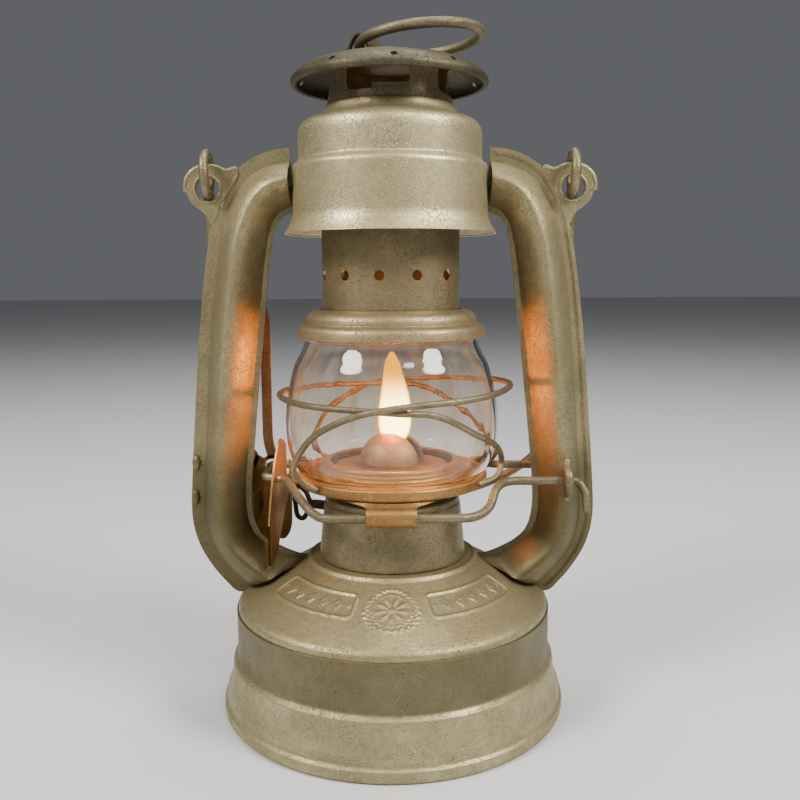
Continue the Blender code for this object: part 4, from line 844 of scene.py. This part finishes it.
ear = {"x": 65.2, "z": 190.6, "hole": 4.2, "half": 0.95, "lip": 0.45, "hemRadius": 1.15,
       "outline": [(73.0, 190.6), (72.2, 194.6), (69.6, 197.3), (66.0, 198.35), (62.0, 197.9), (58.6, 196.6),
                   (55.2, 197.4), (54.6, 194.6), (57.8, 190.0), (60.6, 184.6), (62.6, 179.6), (64.6, 178.2),
                   (65.6, 181.0), (68.2, 183.4), (71.2, 186.0)]}


def earGrid(right):
    # a plate between its outline and its round hole, matched by angle
    outline = through(np.array(ear["outline"]), 8, closed=True)
    middle = np.array([ear["x"], ear["z"]])
    turn = np.arctan2(outline[:, 1] - middle[1], outline[:, 0] - middle[0])
    hole = middle + ear["hole"] * np.stack([np.cos(turn), np.sin(turn)], axis=1)
    mirror = np.array([right, 1])
    return slab(outline * mirror, hole * mirror, -ear["half"], ear["half"], 0.25)


def earRim(right):
    # the rolled lip round the hole, a thin ring on each face
    turn = np.arange(48) / 48 * 2 * np.pi
    reach = ear["hole"] + 0.55
    rings = []
    for side in (-1, 1):
        line = np.stack([right * (ear["x"] + reach * np.cos(turn)), np.full(48, side * ear["half"]),
                         ear["z"] + reach * np.sin(turn)], axis=1)
        rings.append(wire(line, ear["lip"], closed=True, sides=10))
    return rings


for word, right in (("left", -1), ("right", 1)):
    for face, side in (("Front", -1), ("Back", 1)):
        hemmed = 1.0 if right * side < 0 else 0.0
        grid, quads = tubeHalf(right, side, hemmed)
        piece(word + "Tube" + face, [(grid, quads)], tubeTin, "lantern",
              [word + "_tube_" + face.lower()], crease=45)
    grid, quads = earGrid(right)
    outline = through(np.array(ear["outline"]), 8, closed=True)[:72]
    lip = np.stack([right * outline[:, 0], 0 * outline[:, 0], outline[:, 1]], axis=1)
    rims = [(ring * mm, faces) for ring, faces in earRim(right) + [wire(lip, ear["hemRadius"], sides=10)]]
    piece(word + "Ear", [(grid * mm, quads)] + rims, tubeTin, "lantern")


def makeRivet(name, node):
    # an upright oblong boss on the flange's front and back, two domes joined by a pin
    low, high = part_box(node)
    mid = (low + high) / 2 / mm
    turn = np.arange(28) / 28 * 2 * np.pi
    rise = np.linspace(0, 1, 9)[:, None]
    grids = []
    for side in (-1, 1):
        wide = np.sqrt(np.clip(1 - rise ** 2, 0, 1))
        x = mid[0] + 1.6 * wide * np.cos(turn)
        z = mid[2] + 3.0 * wide * np.sin(turn)
        y = side * (0.75 + 1.4 * rise + 0 * turn)
        dome = np.stack([x, y, z], axis=-1)
        under = np.stack([mid[0] + 0 * turn, np.full(28, side * 0.6), mid[2] + 0 * turn], axis=-1)
        grids.append((np.concatenate([under[None], dome]) * mm, gridQuads(10, 28, False, True)))
    return piece(name, grids, tubeTin, "lantern", [node])


makeRivet("seamRivetUpper", "seam_rivet_upper")
makeRivet("seamRivetLower", "seam_rivet_lower")
print("lantern: side tubes made")


# ---- hood and chimney ----

flue = {"chimneyRadius": 24.8, "neckRadius": 22.0, "hole": 1.8, "holeHeight": 159.8, "firstHole": -8.5,
        "windows": (-11.5, 78.5), "capHole": 1.15}


def makeHood():
    line = through([(23.0, 218.0), (23.3, 217.4), (23.9, 215.9), (24.9, 214.7), (26.3, 213.95), (28.2, 213.6),
                    (30.0, 213.0), (31.4, 211.8), (32.2, 210.3), (32.55, 208.4), (32.6, 205.0), (32.6, 200.6),
                    (32.75, 199.7), (33.4, 198.9), (34.2, 198.2), (34.7, 197.2), (34.8, 195.4), (34.8, 188.0),
                    (34.85, 182.4), (35.1, 180.2), (35.8, 178.2), (36.8, 176.4), (37.5, 175.3),
                    (37.9, 174.7), (37.7, 174.45), (37.0, 174.6)], 6)

    def shape(a, r, z):
        fade = np.clip((z - 178) / 6, 0, 1) * np.clip((211 - z) / 4, 0, 1)
        return r - np.abs(softDents(a, z, 0.16)) * fade, z

    grid, quads = turned(sheetSection(line, 0.6), 240, shape)
    made = piece("hood", [(grid * mm, quads)], hoodTinPaintedLight, "lantern", ["hood"])
    duct = np.array([(-6.8, 186.0), (6.8, 186.0), (6.8, 196.4), (-6.8, 196.4)]) * mm
    for turn in (-90, 90):
        carve(made, prism("duct", duct, turn, (0.028, 0.040)), folded=True)
    return made


def makeChimneyTube():
    line = through([(22.0, 216.4), (22.0, 205.0), (22.0, 190.5), (22.2, 187.8), (23.6, 185.9), (24.7, 184.6),
                    (24.8, 182.8), (24.8, 172.0), (24.8, 160.0), (24.8, 150.0), (24.8, 143.8)], 8)
    angle = np.radians(flue["firstHole"] + np.arange(12) * 30)

    def shape(a, r, z):
        # a faint raised lip round every hole
        near = (a[..., None] - angle + np.pi) % (2 * np.pi) - np.pi
        reach = np.hypot(near * flue["chimneyRadius"], (z - flue["holeHeight"])[..., None]).min(axis=-1)
        return r + 0.16 * np.exp(-((reach - 2.3) / 0.5) ** 2) - 0.5 * np.abs(softDents(a, z, 0.10)), z

    grid, quads = turned(sheetSection(line, 0.6), 288, shape)
    made = piece("chimneyTube", [(grid * mm, quads)], sootTin, "chimney", ["chimney_tube"])
    radius = flue["chimneyRadius"] * mm
    holes(made, "draughtHoles",
          [((radius * np.sin(t), -radius * np.cos(t), flue["holeHeight"] * mm), (np.sin(t), -np.cos(t), 0))
           for t in angle], flue["hole"] * mm, 0.006)
    return made


def makeBell():
    line = through([(25.75, 147.8), (26.6, 147.75), (28.4, 147.2), (29.9, 146.2), (30.8, 144.9),
                    (31.1, 143.6), (31.2, 142.9), (32.2, 142.5), (33.2, 141.9), (33.9, 140.9),
                    (34.2, 139.6), (34.3, 138.4), (34.25, 137.85), (33.8, 137.8)], 7)
    grid, quads = turned(sheetSection(line, 0.6), 240)
    return piece("chimneyBell", [(grid * mm, quads)], bellTin, "chimney", ["chimney_bell"])


def makeNeck():
    line = through([(22.0, 233.4), (21.9, 230.0), (21.7, 226.0), (21.75, 222.6), (21.9, 220.2),
                    (21.95, 218.2), (22.0, 216.8)], 8)
    grid, quads = turned(sheetSection(line, 0.6), 240)
    made = piece("chimneyNeck", [(grid * mm, quads)], neckTin, "chimney", ["chimney_neck"])
    half = flue["neckRadius"] * np.sin(np.radians(29.0))
    low, high, corner = 220.9, 231.4, 2.6
    turn = np.radians(np.arange(0, 91, 15))
    arc = np.stack([np.cos(turn), np.sin(turn)], axis=1)[::-1] * corner
    outline = np.concatenate([
        [(half, high)], [(half, low + corner)],
        np.stack([half - corner + arc[::-1, 0], low + corner - arc[::-1, 1]], axis=1)[1:],
        np.stack([-half + corner - arc[:, 0], low + corner - arc[:, 1]], axis=1),
        [(-half, high)]]) * mm
    for turn in flue["windows"]:
        carve(made, prism("window", outline, turn, (-0.04, 0.04)))
    return made


def makeRainCap():
    line = through([(0.0, 236.1), (4.0, 236.05), (8.0, 235.9), (13.0, 235.4), (18.0, 234.5), (23.0, 233.4),
                    (27.5, 232.0), (31.0, 230.5), (33.2, 229.0), (34.4, 227.6), (34.7, 226.6), (34.5, 225.5),
                    (33.8, 225.05), (32.9, 225.2), (32.5, 225.7)], 8)
    section = sheetSection(line, 0.6)
    section[-1, 0] = 0

    def shape(a, r, z):
        wave = softDents(a, z, 0.22) * np.clip((r - 22) / 10, 0, 1) * np.clip((34.0 - r) / 3, 0, 1)
        return r, z + wave

    grid, quads = turned(section, 240, shape, closed=False)
    made = piece("rainCap", [(grid * mm, quads)], capTin, "chimney", ["rain_cap"])
    angle = np.radians(3 + np.arange(10) * 36)
    place = 33.4 * mm
    holes(made, "capHoles", [((place * np.sin(t), -place * np.cos(t), 229.0 * mm),
                              (np.sin(t) * 0.8, -np.cos(t) * 0.8, 0.6)) for t in angle], flue["capHole"] * mm,
          0.004, 14)
    return made


def makeCapTab():
    # a three-cornered tongue bent up out of the crown in front of the strap, with a little curl
    share = np.linspace(0, 1, 9)[:, None]
    across = np.linspace(-1, 1, 9)[None, :]
    x = -5.2 + across * 3.2 * (1 - 0.85 * share)
    y = -5.4 - 1.2 * share + 0 * across
    z = 235.9 + 4.6 * share + 0.5 * share ** 2 + 0 * across
    front = np.stack([x, y, z], axis=-1)
    back = front + np.array([0, 0.5, 0.14])
    rows = np.concatenate([front, back[:, ::-1]], axis=1)
    flat = [np.concatenate([(front + back)[k:k + 1] / 2, (front + back)[k:k + 1, ::-1] / 2], axis=1)
            for k in (0, -1)]
    rows = np.concatenate([flat[0], rows, flat[1]])
    piece("capTab", [(rows * mm, gridQuads(len(rows), rows.shape[1], False, True))], greyWire, "chimney")


def strip(name, line, half, wall, finish, body, stands=(), sharp=creaseAngle):
    # a bent strap: its side line in XZ given a wall and a width in Y with eased edges
    section = sheetSection(line, wall)
    y = np.array([-half, -half + 0.12, half - 0.12, half])
    rows = np.stack([np.stack([section[:, 0], np.full(len(section), at), section[:, 1]], axis=1) for at in y])
    flat = np.concatenate([line, line[::-1]])
    ends = [np.stack([flat[:, 0], np.full(len(flat), at), flat[:, 1]], axis=1)[None] for at in (-half, half)]
    rows = np.concatenate([ends[0], rows, ends[1]])
    return piece(name, [(rows * mm, gridQuads(len(rows), rows.shape[1], False, True))], finish, body, stands,
                 crease=sharp)


def makeRingAndStrap():
    hingeX, hingeZ, radius, wall = -10.5, 239.2, 21.3, 0.6
    line = through([(-17.0, 235.8), (-15.2, 236.4), (-14.0, 237.3), (-13.3, 239.2), (-12.2, 241.4),
                    (-10.5, 242.2), (-8.8, 241.4), (-7.7, 239.2), (-6.6, 237.4), (-5.0, 236.9), (2.0, 236.85),
                    (10.0, 236.7)], 6)
    strip("ringStrap", line[::-1], 3.5, wall, capTin, "chimney", ["ring_strap"])
    tilt = np.radians(5)
    turn = np.arange(96) / 96 * 2 * np.pi
    out = radius * (1 + np.cos(turn))
    ring = np.stack([hingeX + out * np.cos(tilt), radius * np.sin(turn), hingeZ + out * np.sin(tilt)], axis=1)
    grid, quads = wire(ring, 1.7, closed=True, sides=18)
    piece("capRing", [(grid * mm, quads)], greyWire, "cap_ring", ["cap_ring"])


makeHood()
makeChimneyTube()
makeBell()
makeNeck()
makeRainCap()
makeCapTab()
makeRingAndStrap()
print("lantern: hood and chimney made")


# ---- bail ----

bail = {"eye": 7.2, "pivot": 195.6, "lean": 19.0, "leg": 98.0, "arch": 40.0, "step": 1.3, "radius": 1.7}


def makeBail():
    half = ear["x"] + bail["step"] / 2
    part = np.linspace(0, 1, 41)
    turn = np.radians(-170 + 320 * part)
    eye = np.stack([-half + bail["step"] * (1 - part), bail["eye"] * np.sin(turn),
                    bail["eye"] * np.cos(turn)], axis=1)
    bend = through([eye[-2], eye[-1], (-half, 0.6, -9.8), (-half, 0.0, -13.2), (-half, 0.0, -20.0)], 8)[8:]
    leg = np.linspace([-half, 0, -20.0], [-half, 0, -bail["leg"]], 40)
    turn = np.pi * np.linspace(0, 1, 81)
    arch = np.stack([-half * np.cos(turn), 0 * turn, -bail["leg"] - bail["arch"] * np.sin(turn)], axis=1)
    left = np.concatenate([eye[:-1], bend[:-1], leg[:-1]])
    line = np.concatenate([left, arch[:-1], left[::-1] * [-1, 1, 1]])
    keep = np.concatenate([[True], np.linalg.norm(np.diff(line, axis=0), axis=1) > 0.02])
    lean = np.radians(bail["lean"])
    turnX = np.array([[1, 0, 0], [0, np.cos(lean), np.sin(lean)], [0, -np.sin(lean), np.cos(lean)]])
    grid, quads = wire(line[keep] @ turnX + [0, 0, bail["pivot"]], bail["radius"], sides=18)
    return piece("bailWire", [(grid * mm, quads)], greyWire, "bail", ["bail"])


makeBail()
print("lantern: bail made")


# ---- plain pieces that keep their own shape ----

kept = {
    "tubeTin": (tubeTin, ["filler_neck", "bracket_web"]),
    "brassTin": (brassTin, ["burner_body", "air_screen", "wick_tube"]),
    "darkWire": (darkWire, ["wick_sprocket_a", "wick_sprocket_b", "spring_seat"]),
    "greyWire": (greyWire, ["chimney_spring", "lever_pin"]),
    "cotton": (cotton, ["wick"]),
    "cork": (cork, ["filler_gasket"]),
}
for finish, names in kept.values():
    for name in names:
        mesh = nodes[name].data
        mesh.materials.clear()
        mesh.materials.append(finish)


# ---- flame, floor, lights and camera ----

flame = {"base": 98.5, "tall": 33.5, "wide": 7.2, "watts": 0.10, "lampHeight": 0.115}


def makeFlame():
    # a leaf of light: width sin of the height share, drawn out to a point and leaning as it burns
    share = np.linspace(0, 1, 60)[:, None]
    turn = np.arange(40)[None, :] / 40 * 2 * np.pi
    wide = flame["wide"] * np.sin(np.pi * share ** 0.66) ** 0.5 * (1 - 0.35 * share)
    bend = 0.8 * np.sin(share * 5.0) * share
    x = 1.0 + bend + wide * np.cos(turn)
    y = 0.5 * wide * np.sin(turn)
    z = flame["base"] + flame["tall"] * share + 0 * turn
    grid = np.stack([x, y, z], axis=-1)
    mesh = bpy.data.meshes.new("flame")
    mesh.from_pydata((grid.reshape(-1, 3) * mm).tolist(), [], gridQuads(60, 40, False, True).tolist())
    mesh.shade_smooth()
    made = bpy.data.objects.new("flame", mesh)
    bpy.context.scene.collection.objects.link(made)
    s = Sheet("flameLight")
    rise = s.span(s.height(), (flame["base"] - 1) * mm, (flame["base"] + flame["tall"]) * mm)
    face = s.node("ShaderNodeLayerWeight", {}, {"Blend": 0.35}, "Facing")
    core = (1 - s.span(face, 0.05, 0.45)) * (1 - s.span(rise, 0.30, 0.95))
    color = s.mix(core, shade(1.0, 0.44, 0.0), shade(1.0, 0.82, 0.36))
    color = s.mix(s.span(face, 0.5, 0.85) * 0.6, color, shade(1.0, 0.25, 0.0))
    glow = s.node("ShaderNodeEmission", {}, {"Color": color, "Strength": (2.2 + 9.0 * core)})
    clear = s.node("ShaderNodeBsdfTransparent", {}, {})
    edge = s.span(face, 0.62, 0.98)
    mixed = s.node("ShaderNodeMixShader", {}, {0: edge, 1: glow, 2: clear})
    s.tree.links.new(mixed.socket, s.tree.nodes["Material Output"].inputs["Surface"])
    mesh.materials.append(s.material)
    made.visible_shadow = False


def makeStage():
    mesh = bpy.data.meshes.new("floor")
    size = 6.0
    corners = [(-size, -size, 0), (size, -size, 0), (size, size, 0), (-size, size, 0)]
    mesh.from_pydata(corners, [], [(0, 1, 2, 3)])
    floor = bpy.data.objects.new("floor", mesh)
    bpy.context.scene.collection.objects.link(floor)
    s = Sheet("palePaper")
    mesh.materials.append(s.set(Base_Color=shade(0.62, 0.62, 0.63), Roughness=0.8))


def areaLight(name, place, aim, size, watts, color=(1, 1, 1)):
    data = bpy.data.lights.new(name, "AREA")
    data.shape, data.size, data.energy, data.color = "DISK", size, watts, color
    lamp = bpy.data.objects.new(name, data)
    lamp.matrix_world = Matrix.Translation(place) @ facing(np.array(place) - np.array(aim))
    bpy.context.scene.collection.objects.link(lamp)


def makeLights():
    world = bpy.data.worlds.new("studio")
    bpy.context.scene.world = world
    world.use_nodes = True
    world.node_tree.nodes["Background"].inputs["Color"].default_value = (0.55, 0.57, 0.6, 1)
    world.node_tree.nodes["Background"].inputs["Strength"].default_value = 0.22
    areaLight("keyLight", (-0.74, -0.50, 0.90), (0, 0, 0.12), 0.42, 15, (1.0, 0.97, 0.93))
    areaLight("fillLight", (0.78, -0.44, 0.85), (0, 0, 0.12), 0.42, 15, (1.0, 0.98, 0.95))
    areaLight("frontLight", (0.35, -0.60, 1.15), (0, 0, 0.12), 0.25, 3, (1.0, 0.98, 0.95))
    areaLight("topLight", (0.05, 0.20, 1.1), (0, 0, 0.1), 0.6, 7)
    data = bpy.data.lights.new("flameLamp", "POINT")
    data.energy, data.color, data.shadow_soft_size = flame["watts"], (1.0, 0.25, 0.0), 0.004
    lamp = bpy.data.objects.new("flameLamp", data)
    lamp.location = (0.001, 0, flame["lampHeight"])
    bpy.context.scene.collection.objects.link(lamp)


def makeCamera():
    data = bpy.data.cameras.new("camera")
    data.sensor_width, data.lens, data.clip_start = 36.0, 39.59, 0.01
    camera = bpy.data.objects.new("camera", data)
    camera.matrix_world = (Matrix.Translation((0.0031, -0.3217, 0.1596))
                           @ Matrix.Rotation(np.radians(90 - 8.03), 4, "X")
                           @ Matrix.Rotation(np.radians(-0.295), 4, "Z"))
    bpy.context.scene.collection.objects.link(camera)
    bpy.context.scene.camera = camera


makeFlame()
makeStage()
makeLights()
makeCamera()
print("lantern: stage, lights and camera ready")
